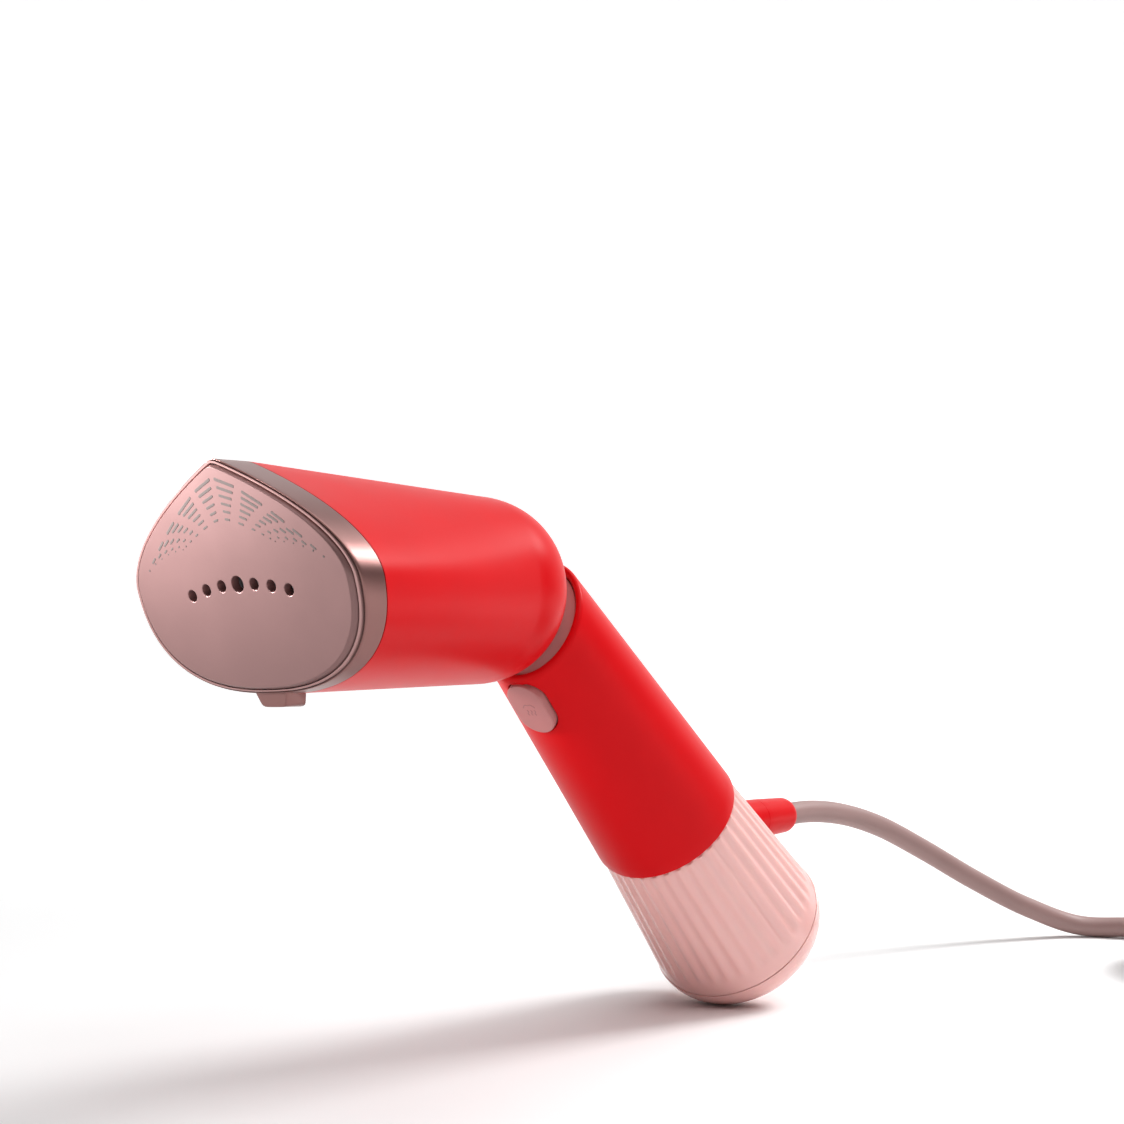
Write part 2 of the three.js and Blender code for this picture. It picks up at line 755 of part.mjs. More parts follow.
function tankShell() {
  const count = fluteCount * 2;
  const levels = [
    [seam + fitGap, 0],
    [seam + fluteEnd, 0],
    [seam + fluteEnd + 6, 1],
    [tankTop - 3, 1],
    [tankTop, 1],
  ];
  const sections = levels.map(([z, flute]) => {
    const points = [];
    for (let i = 0; i < count; i += 1) {
      const a = (2 * Math.PI * i) / count;
      const r = tankRadiusAt(z) - flute * (i % 2 ? fluteDepth : 0);
      points.push(new THREE.Vector3(r * Math.cos(a), r * Math.sin(a), z));
    }
    return points;
  });
  const skin = fromSolid(toSolid(loft(sections.reverse())));
  const inner = tankCone(-tankWall - fluteDepth, seam - 1, tankTop - 1.8, 36);
  const mouth = rod(neckTankRadius - 1.8, tankTop - 4, tankTop + neckTankHeight + 2, 36);
  const collar = rod(neckTankRadius, tankTop - 1, tankTop + neckTankHeight, 36);
  return cut(join(skin, collar), inner, mouth);
}

function tankBase() {
  const steps = 7;
  const profile = [[0, seam - baseDepth]];
  for (let i = 0; i <= steps; i += 1) {
    const a = (Math.PI / 2) * (i / steps);
    const flat = tankBaseRadius - baseDepth - 1;
    const r = flat + (baseDepth + 1 + 0.25) * Math.sin(a);
    profile.push([r, seam - baseDepth * Math.cos(a)]);
  }
  const top = seam;
  const spigot = tankBaseRadius - tankWall - fluteDepth - fitGap - 0.15;
  profile.push([spigot, top], [spigot, top + 2], [spigot - 1.4, top + 2]);
  for (let i = steps; i >= 1; i -= 1) {
    const a = (Math.PI / 2) * (i / steps);
    const flat = tankBaseRadius - baseDepth - 1;
    const r = flat + (spigot - 1.4 - flat) * Math.sin(a);
    profile.push([r, seam - (baseDepth - 2) * Math.cos(a) - 0.2]);
  }
  profile.push([0, seam - baseDepth + 2]);
  return turned(profile, 44);
}

function tankLid() {
  const inner = neckTankRadius - 1.8 - 0.3;
  const low = tankTop + neckTankHeight - 5;
  const disc = rod(inner, low, low + 3, 32);
  return cut(disc, rod(valveRadius, low - 1, low + 4, 20), rod(3, low - 1, low + 4, 16)
    .translate(7.6, 0, 0));
}
piece(handle, "water_tank", tankShell(), roseClear);
piece(handle, "tank_base", tankBase(), roseClear);
piece(handle, "tank_lid", tankLid(), rosePlastic);

const lidLow = tankTop + neckTankHeight - 5;
piece(handle, "tank_valve", join(
  rod(valveRadius - 0.3, lidLow - 2, lidLow + 4, 20),
  rod(valveRadius + 1.6, lidLow - 3.4, lidLow - 0.4, 20),
), whitePlastic);
piece(handle, "fill_plug", join(
  rod(2.7, lidLow - 1, lidLow + 3.4, 16),
  rod(4, lidLow + 3.3, lidLow + 4.6, 16),
).translate(7.6, 0, 0), silicone);
piece(handle, "tank_filter", ring(2, 4.4, lidLow - 9, lidLow - 3.8, 20), whitePlastic);

// ---- Cord, coil and plug ----

// The surface that the coil lies on is level with the tank's lowest point.
function lowestOfTank() {
  const base = handle.children.find((m) => m.name === "tank_base");
  const box = new THREE.Box3().setFromBufferAttribute(
    placedIn(handle, steamer, base.geometry).getAttribute("position"),
  );
  return box.min.z;
}
const ground = lowestOfTank();
const lie = ground + cordDiameter / 2 + 0.4;
const cordStart = new THREE.Vector3(0, exitPoint.y + reliefLength + 0.3, exitPoint.z);

// Points chosen by hand: out of the strain relief, down under its own weight, along the ground.
const droop = [
  [0, 0, 0], [0, 14, 0], [1, 38, -2.4], [4, 64, -9], [10, 89, -20], [20, 114, -34],
  [33, 137, -47], [48, 154, -55.5],
];
const reach = [[68, 160.5], [92, 161.5], [112, 160]];
const coilMiddle = [138, cordStart.y + 114];

const coilBase = ground + tieThick + 0.6;
function coilRing(grow) {
  const half = coilWidth / 2 + grow;
  const high = coilHeight + grow;
  const loop = ring(coilTurnRadius - half, coilTurnRadius + half, -grow, high, 36);
  return loop.translate(coilMiddle[0], coilMiddle[1], coilBase);
}

function cordTube() {
  const start = cordStart;
  const points = droop.map(([x, y, z]) => [x, start.y + y, Math.max(start.z + z, lie)]);
  reach.forEach(([x, y]) => points.push([x, start.y + y, lie]));
  points.push([coilMiddle[0] - 5, coilMiddle[1] + coilTurnRadius + 3, lie + 1]);
  return cut(tube(points, cordDiameter / 2, 24, 8), coilRing(0.3));
}
piece(steamer, "cord_tube", cordTube(), cordRose);
piece(steamer, "cord_coil", coilRing(0), cordRose);

// A strap round the turns, on the side of the coil towards the steam plate.
function cordTie() {
  const wide = coilWidth + 0.6;
  const high = coilHeight + 0.6;
  const outer = block(tieWidth, wide + 2 * tieThick, high + 2 * tieThick);
  const loop = cut(outer, block(tieWidth + 1, wide, high));
  return loop.translate(coilMiddle[0], coilMiddle[1] - coilTurnRadius, coilBase + coilHeight / 2);
}
piece(steamer, "cord_tie", cut(cordTie(), coilRing(0.3)), blackPlastic);

// The plug lies on the coil. The cord's last stretch leaves the top turn and curves round to it.
const tailRadius = 32;
const tailCentre = [coilMiddle[0] - 2.8, coilMiddle[1] + 2.7];
const plugAxis = [tailCentre[0] + tailRadius, tailCentre[1]];
const plugHeight = coilBase + coilHeight + plugRadius + 0.4;
function alongPlug(geometry) {
  // From a body along +Z to one lying along -Y, starting where the cord enters the plug.
  return geometry.rotateX(Math.PI / 2).translate(plugAxis[0], plugAxis[1], plugHeight);
}
function plugBody() {
  return alongPlug(turned([
    [0, 0],
    [5.5, 0],
    [6.4, 9],
    [plugRadius, 15],
    [plugRadius, plugLength],
    [0, plugLength],
  ], 24));
}
piece(steamer, "plug_body", plugBody(), cordRose);
[-1, 1].forEach((side, i) => {
  const pin = rod(pinRadius, plugLength + 0.3, plugLength + pinLength, 14);
  piece(steamer, `plug_pin_${i + 1}`, alongPlug(pin).translate((side * pinSpacing) / 2, 0, 0), steel);
});

function cordTail() {
  const low = coilBase + coilHeight - cordDiameter / 2 - 1;
  const stops = [[128, 0.02], [104, 0.2], [78, 0.5], [52, 0.78], [26, 0.96]];
  const points = stops.map(([degrees, share]) => [
    tailCentre[0] + tailRadius * Math.cos(degrees * radians),
    tailCentre[1] + tailRadius * Math.sin(degrees * radians),
    low + (plugHeight - low) * share,
  ]);
  points.push([plugAxis[0], plugAxis[1] + 0.9, plugHeight]);
  return cut(tube(points, cordDiameter / 2, 10, 8), coilRing(0.3));
}
piece(steamer, "cord_tail", cordTail(), cordRose);

export default steamer;
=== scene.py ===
"""Looks of a hand-held garment steamer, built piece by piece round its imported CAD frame."""

import json
import math

import bpy
import numpy as np
from mathutils import Matrix, Vector
from mathutils.geometry import tessellate_polygon


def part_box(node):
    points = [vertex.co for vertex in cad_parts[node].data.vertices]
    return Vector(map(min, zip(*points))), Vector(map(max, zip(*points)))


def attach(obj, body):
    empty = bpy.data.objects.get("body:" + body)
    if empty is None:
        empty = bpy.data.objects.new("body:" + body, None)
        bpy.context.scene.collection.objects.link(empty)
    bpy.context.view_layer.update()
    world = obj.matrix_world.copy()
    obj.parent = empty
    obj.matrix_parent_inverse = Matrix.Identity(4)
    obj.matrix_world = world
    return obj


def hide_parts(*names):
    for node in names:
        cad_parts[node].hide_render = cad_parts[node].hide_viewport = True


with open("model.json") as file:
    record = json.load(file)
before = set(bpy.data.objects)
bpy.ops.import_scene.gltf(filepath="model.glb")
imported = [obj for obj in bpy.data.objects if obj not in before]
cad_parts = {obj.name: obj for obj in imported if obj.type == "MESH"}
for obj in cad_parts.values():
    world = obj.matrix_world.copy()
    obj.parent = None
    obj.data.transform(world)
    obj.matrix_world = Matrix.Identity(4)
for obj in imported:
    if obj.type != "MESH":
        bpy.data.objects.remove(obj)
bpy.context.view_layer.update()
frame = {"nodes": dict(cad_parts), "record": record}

# ---- Camera ----
# A lens a little longer than normal, level with the steam head, to the right of the steam plate.

camera_data = bpy.data.cameras.new("camera")
camera_data.sensor_width = 36
camera_data.lens = 52.99
camera_data.shift_x = -0.0061
camera_data.shift_y = 0.0659
camera = bpy.data.objects.new("camera", camera_data)
bpy.context.scene.collection.objects.link(camera)
camera_right = Vector((0.7863, 0.6177, -0.0160))
camera_up = Vector((0.0277, -0.0093, 0.9996))
camera_turn = Matrix((camera_right, camera_up, camera_right.cross(camera_up))).transposed()
camera.matrix_world = Matrix.Translation((0.3060, -0.4087, 0.0178)) @ camera_turn.to_4x4()
bpy.context.scene.camera = camera
bpy.context.scene.view_settings.view_transform = "Standard"

# ---- Mains cord ----
# A round two-core cord in soft rose plastic. It leaves the handle's back level, sags to the floor,
# and what is left over is wound into a tied coil. It is one length of cord, from relief to plug.

millimetre = 0.001
cord_thick = 8.0
coil_pitch = 8.2
floor_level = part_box("tank_base")[0].z / millimetre
relief_low, relief_high = (np.array(corner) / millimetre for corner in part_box("strain_relief"))
coil_low, coil_high = (np.array(corner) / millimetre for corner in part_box("cord_coil"))
plug_low, plug_high = (np.array(corner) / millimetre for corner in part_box("plug_body"))


def smooth_path(points, step):
    """A smooth curve through the points, at even steps. Between two points it is the cubic whose end
    slopes are the distance-weighted means of the straight slopes on either side."""
    points = np.asarray(points, float)
    span = np.linalg.norm(np.diff(points, axis=0), axis=1)
    slope = np.diff(points, axis=0) / span[:, None]
    weight = span[:-1, None] + span[1:, None]
    inner = (slope[:-1] * span[1:, None] + slope[1:] * span[:-1, None]) / weight
    tangent = np.vstack([slope[:1], inner, slope[-1:]])
    at = np.concatenate([[0], np.cumsum(span)])
    fine = np.linspace(0, at[-1], int(at[-1] / step * 4))
    i = np.clip(np.searchsorted(at, fine, side="right") - 1, 0, len(span) - 1)
    u = ((fine - at[i]) / span[i])[:, None]
    reach = span[i][:, None]
    curve = (
        (2 * u**3 - 3 * u**2 + 1) * points[i]
        + (u**3 - 2 * u**2 + u) * reach * tangent[i]
        + (3 * u**2 - 2 * u**3) * points[i + 1]
        + (u**3 - u**2) * reach * tangent[i + 1]
    )
    along = np.concatenate([[0], np.cumsum(np.linalg.norm(np.diff(curve, axis=0), axis=1))])
    even = np.linspace(0, along[-1], int(along[-1] / step) + 1)
    return np.stack([np.interp(even, along, curve[:, k]) for k in range(3)], axis=1)


def grid_faces(rows, columns, close_rows=False, close_columns=True, first=0):
    """Quads over a grid of points kept row by row, joined round where it is asked to close."""
    r = np.arange(rows if close_rows else rows - 1)[:, None]
    c = np.arange(columns if close_columns else columns - 1)[None, :]
    below, beside = (r + 1) % rows, (c + 1) % columns
    corners = [r * columns + c, r * columns + beside, below * columns + beside, below * columns + c]
    return (np.stack(corners, axis=-1).reshape(-1, 4) + first).tolist()


def skin(rows, close_rows=False, first=0):
    """A surface of rings that each close on themselves. Its ends are closed by a flat face unless the
    last ring joins the first. Rings are an array of ring, place in the ring, and x, y, z."""
    count, around = rows.shape[:2]
    faces = grid_faces(count, around, close_rows, True, first)
    if not close_rows:
        faces.append(list(range(first, first + around)))
        faces.append(list(range(first + (count - 1) * around, first + count * around))[::-1])
    return rows.reshape(-1, 3), faces


def tube(path, radius, sides=20):
    """Rings round a path that never stands upright: each is a circle of the radius, on the level
    direction square to the path and on the direction square to both."""
    way = np.gradient(path, axis=0)
    way /= np.linalg.norm(way, axis=1)[:, None]
    side = np.cross(way, [0, 0, 1])
    side /= np.linalg.norm(side, axis=1)[:, None]
    over = np.cross(side, way)
    a = np.linspace(0, 2 * math.pi, sides, endpoint=False)[None, :, None]
    size = np.broadcast_to(radius, len(path))[:, None, None]
    return path[:, None] + size * (np.cos(a) * side[:, None] + np.sin(a) * over[:, None])


def joined(*parts):
    """One list of points and one of faces from several (points, faces) pairs."""
    points, faces, count = [], [], 0
    for part_points, part_faces in parts:
        points.append(part_points)
        faces.extend([[i + count for i in face] for face in part_faces])
        count += len(part_points)
    return np.vstack(points), faces


def make_piece(name, shape, material, body, nodes=(), sharp=32):
    """A mesh object from points in millimetres and faces, turned to face out, that rides on a body."""
    points, faces = shape
    mesh = bpy.data.meshes.new(name)
    mesh.from_pydata((points * millimetre).tolist(), [], faces)
    mesh.calc_loop_triangles()
    corners = np.empty(3 * len(mesh.loop_triangles), np.int32)
    mesh.loop_triangles.foreach_get("vertices", corners)
    a, b, c = points[corners].reshape(-1, 3, 3).transpose(1, 0, 2)
    if np.einsum("ij,ij->", a, np.cross(b, c)) < 0:
        mesh.flip_normals()
    mesh.shade_smooth()
    mesh.set_sharp_from_angle(angle=math.radians(sharp))
    mesh.materials.append(material)
    made = bpy.data.objects.new(name, mesh)
    bpy.context.scene.collection.objects.link(made)
    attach(made, body)
    if nodes:
        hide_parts(*nodes)
    return made


def moulded(name, colour, roughness, grain=0.02, grain_scale=2500, vary=0.03, vary_scale=60, **sockets):
    """A moulded material: the colour drifts a little between two shades over large soft noise, the
    roughness follows the same noise, and a fine noise gives the mould's grain as bump."""
    material = bpy.data.materials.new(name)
    material.use_nodes = True
    nodes, links = material.node_tree.nodes, material.node_tree.links
    shader = nodes["Principled BSDF"]
    place = nodes.new("ShaderNodeTexCoord")
    drift = nodes.new("ShaderNodeTexNoise")
    drift.inputs["Scale"].default_value = vary_scale
    drift.inputs["Detail"].default_value = 3
    shades = nodes.new("ShaderNodeValToRGB")
    shades.color_ramp.elements[0].position = 0.3
    shades.color_ramp.elements[1].position = 0.7
    shades.color_ramp.elements[0].color = (*[c * (1 - vary) for c in colour], 1)
    shades.color_ramp.elements[1].color = (*[min(1, c * (1 + vary)) for c in colour], 1)
    gloss = nodes.new("ShaderNodeMapRange")
    gloss.inputs["To Min"].default_value = roughness * 0.9
    gloss.inputs["To Max"].default_value = roughness * 1.1
    fine = nodes.new("ShaderNodeTexNoise")
    fine.inputs["Scale"].default_value = grain_scale
    bump = nodes.new("ShaderNodeBump")
    bump.inputs["Strength"].default_value = grain
    bump.inputs["Distance"].default_value = 0.0002
    links.new(place.outputs["Object"], drift.inputs["Vector"])
    links.new(place.outputs["Object"], fine.inputs["Vector"])
    links.new(drift.outputs["Fac"], shades.inputs["Fac"])
    links.new(drift.outputs["Fac"], gloss.inputs["Value"])
    links.new(shades.outputs["Color"], shader.inputs["Base Color"])
    links.new(gloss.outputs["Result"], shader.inputs["Roughness"])
    links.new(fine.outputs["Fac"], bump.inputs["Height"])
    links.new(bump.outputs["Normal"], shader.inputs["Normal"])
    for socket, value in sockets.items():
        shader.inputs[socket.replace("_", " ")].default_value = value
    return material


cord_rose = moulded("cord_rose", (0.31, 0.19, 0.178), 0.5, grain=0.05, grain_scale=900)

cord_exit = np.array([0, relief_high[1] + 0.3, (relief_low[2] + relief_high[2]) / 2])
lie = floor_level + cord_thick / 2 + 0.4
droop = [
    [0, 0, 0], [0, 14, 0], [1, 38, -2.4], [4, 64, -9], [10, 89, -20], [20, 114, -34],
    [33, 137, -47], [48, 154, -55.5],
]
reach = [[68, 160.5], [92, 161.5], [112, 160]]
coil_centre = (coil_low + coil_high)[:2] / 2
coil_half_wide = 9.25
coil_radius = (coil_high - coil_low)[0] / 2 - coil_half_wide
coil_floor = coil_low[2] + 4.2
lead = [cord_exit + [x, y, max(z, lie - cord_exit[2])] for x, y, z in droop]
lead += [[x, cord_exit[1] + y, lie] for x, y in reach]


def coil_points(turns, start, per_turn=20):
    """Places along the wound cord. Each turn keeps one of seven seats, two across and stacked up, and
    steps over to the next seat within a tenth of a turn, the later turns earlier, so that no turn
    meets the next."""
    seats = np.array([[1, 0], [0, 0], [0, 1], [1, 1], [1, 2], [0, 2], [0, 3]], float)
    turn = np.arange(0.02, turns, 1 / per_turn)
    step_at = np.array([0.71, 0.60, 0.36, 0.25, 0.14, 0.03])
    over = np.clip((turn[:, None] - np.arange(6) - step_at) / 0.10, 0, 1)
    over = over * over * (3 - 2 * over)
    seat = seats[0] + over @ np.diff(seats, axis=0)
    angle = start - 2 * math.pi * turn
    radius = coil_radius - coil_pitch / 2 + coil_pitch * seat[:, 0]
    return np.stack([
        coil_centre[0] + radius * np.cos(angle),
        coil_centre[1] + radius * np.sin(angle),
        coil_floor + coil_pitch * seat[:, 1],
    ], axis=1)


coil_start = math.radians(100)
coil_turns = 5.88
wound = coil_points(coil_turns, coil_start)
plug_top = plug_high[1]
plug_centre = (plug_low + plug_high) / 2
tail_radius = 32.0
tail_centre = coil_centre + [-2.8, 2.7]
tail_low = coil_floor + 3 * coil_pitch
tail = [
    [
        tail_centre[0] + tail_radius * math.cos(math.radians(degrees)),
        tail_centre[1] + tail_radius * math.sin(math.radians(degrees)),
        tail_low + (plug_centre[2] - tail_low) * share,
    ]
    for degrees, share in [(116, 0.05), (96, 0.22), (76, 0.48), (56, 0.74), (36, 0.92), (16, 1.0)]
]
tail += [[plug_centre[0], plug_top + 1, plug_centre[2]], [plug_centre[0], plug_top - 5, plug_centre[2]]]
cord_path = smooth_path([*lead, *wound, *tail], 2.5)
cord_name = "mains_cord"
mains_cord = make_piece(
    cord_name, skin(tube(cord_path, cord_thick / 2)), cord_rose, "handle",
    ["cord_tube", "cord_coil", "cord_tail"],
)

# ---- Cord tie ----
# A strap of black plastic tape that holds the coil's turns together, wrapped once round them.

tie_black = moulded("tie_black", (0.012, 0.012, 0.013), 0.55, grain=0.15, grain_scale=1500)


def rounded_box(half_x, half_z, corner, around=40):
    """A closed outline: a rectangle with rounded corners, as a circle whose centre moves to each of
    the four corners in turn."""
    a = np.linspace(0, 2 * math.pi, around, endpoint=False) + 0.01
    x = np.sign(np.cos(a)) * (half_x - corner) + corner * np.cos(a)
    z = np.sign(np.sin(a)) * (half_z - corner) + corner * np.sin(a)
    return x, z


def strap_rings(centre, half_x, half_z, corner, half_width, thick):
    """A flat strap round a rounded rectangle: its section's corners are inner and outer, near and
    far, with the edges slightly eased."""
    rows = []
    for grow, across in [
        (0, -half_width), (thick * 0.8, -half_width), (thick, -half_width + 0.3),
        (thick, half_width - 0.3), (thick * 0.8, half_width), (0, half_width),
    ]:
        x, z = rounded_box(half_x + grow, half_z + grow, corner + grow)
        rows.append(np.stack([x, np.full_like(x, across), z], axis=1) + centre)
    return np.array(rows)


tie_centre = np.array([coil_centre[0], coil_centre[1] - coil_radius, coil_floor + 1.5 * coil_pitch])
tie_strap = strap_rings(np.zeros(3), coil_pitch + 0.3, 2 * coil_pitch + 0.2, 3.5, 5.5, 1.0)
tie_strap = tie_strap[:, :, [1, 0, 2]] + tie_centre
make_piece(
    "tie_strap", skin(tie_strap, True), tie_black, "handle", ["cord_tie"],
)

# ---- Mains plug ----
# A round moulded plug in the cord's own plastic, with a waisted neck, finger grooves and two pins.


def turned_rings(profile, sides=48):
    """Rings of a turned body about Z, from (radius, height) pairs."""
    r, z = np.array(profile, float).T
    a = np.linspace(0, 2 * math.pi, sides, endpoint=False)
    x, y = r[:, None] * np.cos(a), r[:, None] * np.sin(a)
    return np.stack([x, y, np.broadcast_to(z[:, None], x.shape)], axis=2)


def along_plug(rings):
    """From a body along +Z to one that lies along -Y from the cord's end of the plug."""
    x, y, z = np.moveaxis(rings, 2, 0)
    return np.stack([plug_centre[0] + x, plug_top - z, plug_centre[2] + y], axis=2)


plug_long = plug_high[1] - plug_low[1]
plug_wide = (plug_high[0] - plug_low[0]) / 2
plug_profile = [
    (4.4, 0), (5.0, 0.2), (5.4, 0.8), (5.6, 3), (5.0, 3.4), (5.0, 4.4), (5.8, 4.8), (6.1, 7), (5.5, 7.4),
    (5.5, 8.4), (6.4, 8.8), (7.2, 11), (9.6, 13.6), (12.0, 15.2), (12.8, 16.6), (plug_wide, 18.5),
    (plug_wide - 0.5, 24), (plug_wide - 0.5, 29), (plug_wide, 34), (plug_wide, plug_long - 1.6),
    (plug_wide - 0.5, plug_long - 0.5), (plug_wide - 1.6, plug_long),
]
make_piece(
    "mains_plug", skin(along_plug(turned_rings(plug_profile))), cord_rose, "handle", ["plug_body"],
)
pin_steel = moulded("pin_steel", (0.62, 0.61, 0.59), 0.28, grain=0.01, Metallic=1.0)
pin_wide = 2.3
pin_end = plug_top - (np.array(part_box("plug_pin_1")[0]) / millimetre)[1]
for number in (1, 2):
    pin_box = np.array(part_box(f"plug_pin_{number}")) / millimetre
    pin = turned_rings([
        (pin_wide, plug_long - 1), (pin_wide, pin_end - 1.6), (pin_wide * 0.8, pin_end - 0.5),
        (pin_wide * 0.3, pin_end - 0.05),
    ], 20)
    pin[:, :, 0] += pin_box[:, 0].mean() - plug_centre[0]
    make_piece(
        f"mains_pin_{number}", skin(along_plug(pin)), pin_steel, "handle",
        [f"plug_pin_{number}"],
    )

# ---- Strain relief ----
# A short tapered sleeve of red plastic where the cord enters the back of the handle.

housing_red = moulded(
    "housing_red", (0.62, 0.004, 0.007), 0.34, grain=0.02, vary=0.02, Specular_IOR_Level=0.07,
)
relief_long = relief_high[1] - relief_low[1]
relief_wide = (relief_high[0] - relief_low[0]) / 2
relief_profile = [(relief_wide - 0.1, 0), (relief_wide, 0.1), (relief_wide, 2.0)]
relief_profile += [
    (relief_wide - 0.6 * (t - 2) / (relief_long - 4), t) for t in np.linspace(3, relief_long - 1.6, 12)
]
relief_profile += [
    (relief_wide - 0.9, relief_long - 0.7), (relief_wide - 1.5, relief_long - 0.1),
    (relief_wide - 2.2, relief_long),
]
relief = turned_rings(relief_profile)
relief = np.stack([
    relief[:, :, 0], relief_low[1] + relief[:, :, 2], cord_exit[2] + relief[:, :, 1],
], axis=2)
make_piece("relief_sleeve", skin(relief), housing_red, "handle", ["strain_relief"])

# ---- Handle shell ----
# A slim red moulded cone that grows towards the tank. Its slanted mouth, square to the swivel's
# axis, ends in a rounded lip, and the front has a well for the button.

bend = math.radians(43.7)
grip_to_bend = 61.2
swivel_face = 9.6
grip_radius, grip_taper = 21.6, 0.075
wall = 2.3
rim_low = -40.7
lip_high = 1.5
button_up, button_long, button_wide, button_gap = 32.8, 18.6, 12.4, 0.3
button_travel = 1.8
button_deep = wall - 0.1

across = np.array([1.0, 0, 0])
handle_back = np.array([0, math.cos(math.pi / 2 - bend), math.sin(math.pi / 2 - bend)])
handle_up = np.array([0, -math.sin(math.pi / 2 - bend), math.cos(math.pi / 2 - bend)])


def from_handle(points):
    """From the handle's own frame, whose +Z runs up the handle, to the object's."""
    x, y, z = np.moveaxis(np.asarray(points, float), -1, 0)
    return x[..., None] * across + y[..., None] * handle_back + z[..., None] * handle_up


def cone_radius(z):
    return grip_radius - grip_taper * z


def mouth_height(angle, inset):
    """Height at which the cone, thinner by inset, meets the slanted plane of the mouth: on the plane
    height is a constant plus the tangent of half the bend times the depth."""
    lean = math.tan(bend / 2)
    centre = grip_to_bend - swivel_face / math.cos(bend / 2)
    depth = (grip_radius - inset) * np.sin(angle)
    return (centre + lean * depth) / (1 + lean * grip_taper * np.sin(angle))


def on_cone(angle, z, inset=0.0):
    r = cone_radius(z) - inset
    return np.stack([r * np.cos(angle), r * np.sin(angle), z + 0 * r], axis=-1)


def stadium(length, width, count):
    """A closed outline with two straight sides and two round ends, as (across, up) pairs."""
    a = np.linspace(0, 2 * math.pi, count, endpoint=False)
    up = np.sign(np.sin(a)) * (length - width) / 2
    return np.stack([width / 2 * np.cos(a), up + width / 2 * np.sin(a)], axis=1)


def by_direction(outline, angle):
    """The outline's point in each of the given directions from its centre."""
    own = np.unwrap(np.arctan2(outline[:, 1], outline[:, 0]))
    own = np.concatenate([own - 2 * math.pi, own, own + 2 * math.pi])
    return np.stack([np.interp(angle, own, np.tile(outline[:, k], 3)) for k in range(2)], axis=1)


def handle_shell():
    """A tube-like surface: outer wall upward, round the lip, inner wall downward, and round the rim.
    Rows run up to the slanted mouth. Round the button the rows give way to rings that pass from the
    rows' own outline to the well's, then down into the well."""
    columns = 120
    angle = np.linspace(0, 2 * math.pi, columns, endpoint=False) - math.pi / 2
    top = mouth_height(angle, 0) - lip_high
    share = np.concatenate([np.linspace(0, 0.70, 16), np.linspace(0.74, 0.9975, 14), [1.0]])
    z = rim_low + 0.8 + share[:, None] * (top - rim_low - 0.8)
    outer = on_cone(angle, z)
    turn = np.linspace(0, math.pi, 11)[1:, None]
    inset = wall / 2 * (1 - np.cos(turn))
    lip = on_cone(angle, mouth_height(angle, inset) - lip_high * (1 - np.sin(turn)), inset)
    drop = np.linspace(0.12, 1, 8)[:, None]
    low = rim_low + 0.5
    inner = on_cone(angle, top + drop * (low - top), wall)
    under = np.linspace(0, math.pi, 7)[1:-1, None]
    rim = on_cone(angle, low - 0.5 * np.sin(under) + 0 * angle, wall / 2 * (1 + np.cos(under)))
    rows = np.concatenate([outer, lip, inner, rim])
    count = len(rows)
    faces = np.array(grid_faces(count, columns, True, True)).reshape(count, columns, 4)

    side, first_row, last_row = 12, 16, len(share) - 2
    hidden = np.zeros((count, columns), bool)
    beside = np.r_[-side:side] % columns
    hidden[first_row:last_row, beside] = True
    kept = faces[~hidden].tolist()

    edge_columns = np.r_[-side : side + 1]
    edge_rows = np.r_[first_row : last_row + 1]
    ring_row = np.concatenate([
        np.full(2 * side, first_row), edge_rows[:-1], np.full(2 * side, last_row), edge_rows[:0:-1],
    ])
    ring_column = np.concatenate([
        edge_columns[:-1], np.full(len(edge_rows) - 1, side), edge_columns[:0:-1],
        np.full(len(edge_rows) - 1, -side),
    ])
    edge_index = ring_row * columns + ring_column % columns
    edge_angle = 2 * math.pi * ring_column / columns
    edge_z = z[ring_row, ring_column % columns]
    middle_radius = cone_radius(button_up)
    flat = np.stack([edge_angle * middle_radius, edge_z - button_up], axis=1)
    outline = stadium(button_long + 2 * button_gap + 0.5, button_wide + 2 * button_gap + 0.5, 720)
    direction = np.arctan2(flat[:, 1], flat[:, 0])
    mouth = by_direction(outline, direction)
    rings = []
    for t in (0.25, 0.5, 0.75, 1.0):
        spot = flat + (mouth - flat) * t
        around_well = np.arcsin(np.clip(spot[:, 0] / cone_radius(button_up + spot[:, 1]), -1, 1))
        around = edge_angle + (around_well - edge_angle) * t
        rings.append(on_cone(around - math.pi / 2, button_up + spot[:, 1]))
    well = stadium(button_long + 2 * button_gap, button_wide + 2 * button_gap, 720)
    well = by_direction(well, direction)
    deep = rings[-1][:, 1]
    for depth in (0.3, button_deep, button_deep + button_travel + 0.5):
        surface = deep + depth if depth < 1 else np.full_like(deep, -middle_radius + depth)
        rings.append(np.stack([well[:, 0], surface, button_up + well[:, 1]], axis=1))
    rings = np.array(rings)
    loops = rings.shape[1]
    start = count * columns
    ladder = grid_faces(len(rings), loops, False, True, start)
    beyond = np.roll(np.arange(loops), -1)
    joint = np.stack([edge_index, edge_index[beyond], start + beyond, start + np.arange(loops)], axis=1)
    floor = [list(range(start + (len(rings) - 1) * loops, start + len(rings) * loops))[::-1]]
    points = np.vstack([rows.reshape(-1, 3), rings.reshape(-1, 3)])
    return from_handle(points), kept + joint.tolist() + ladder + floor


tank_top_radius, tank_base_radius, tank_long = 23.9, 29.7, 56.0
seam = rim_low - tank_long


def tank_radius(z):
    return tank_top_radius + (tank_base_radius - tank_top_radius) * (rim_low - z) / tank_long


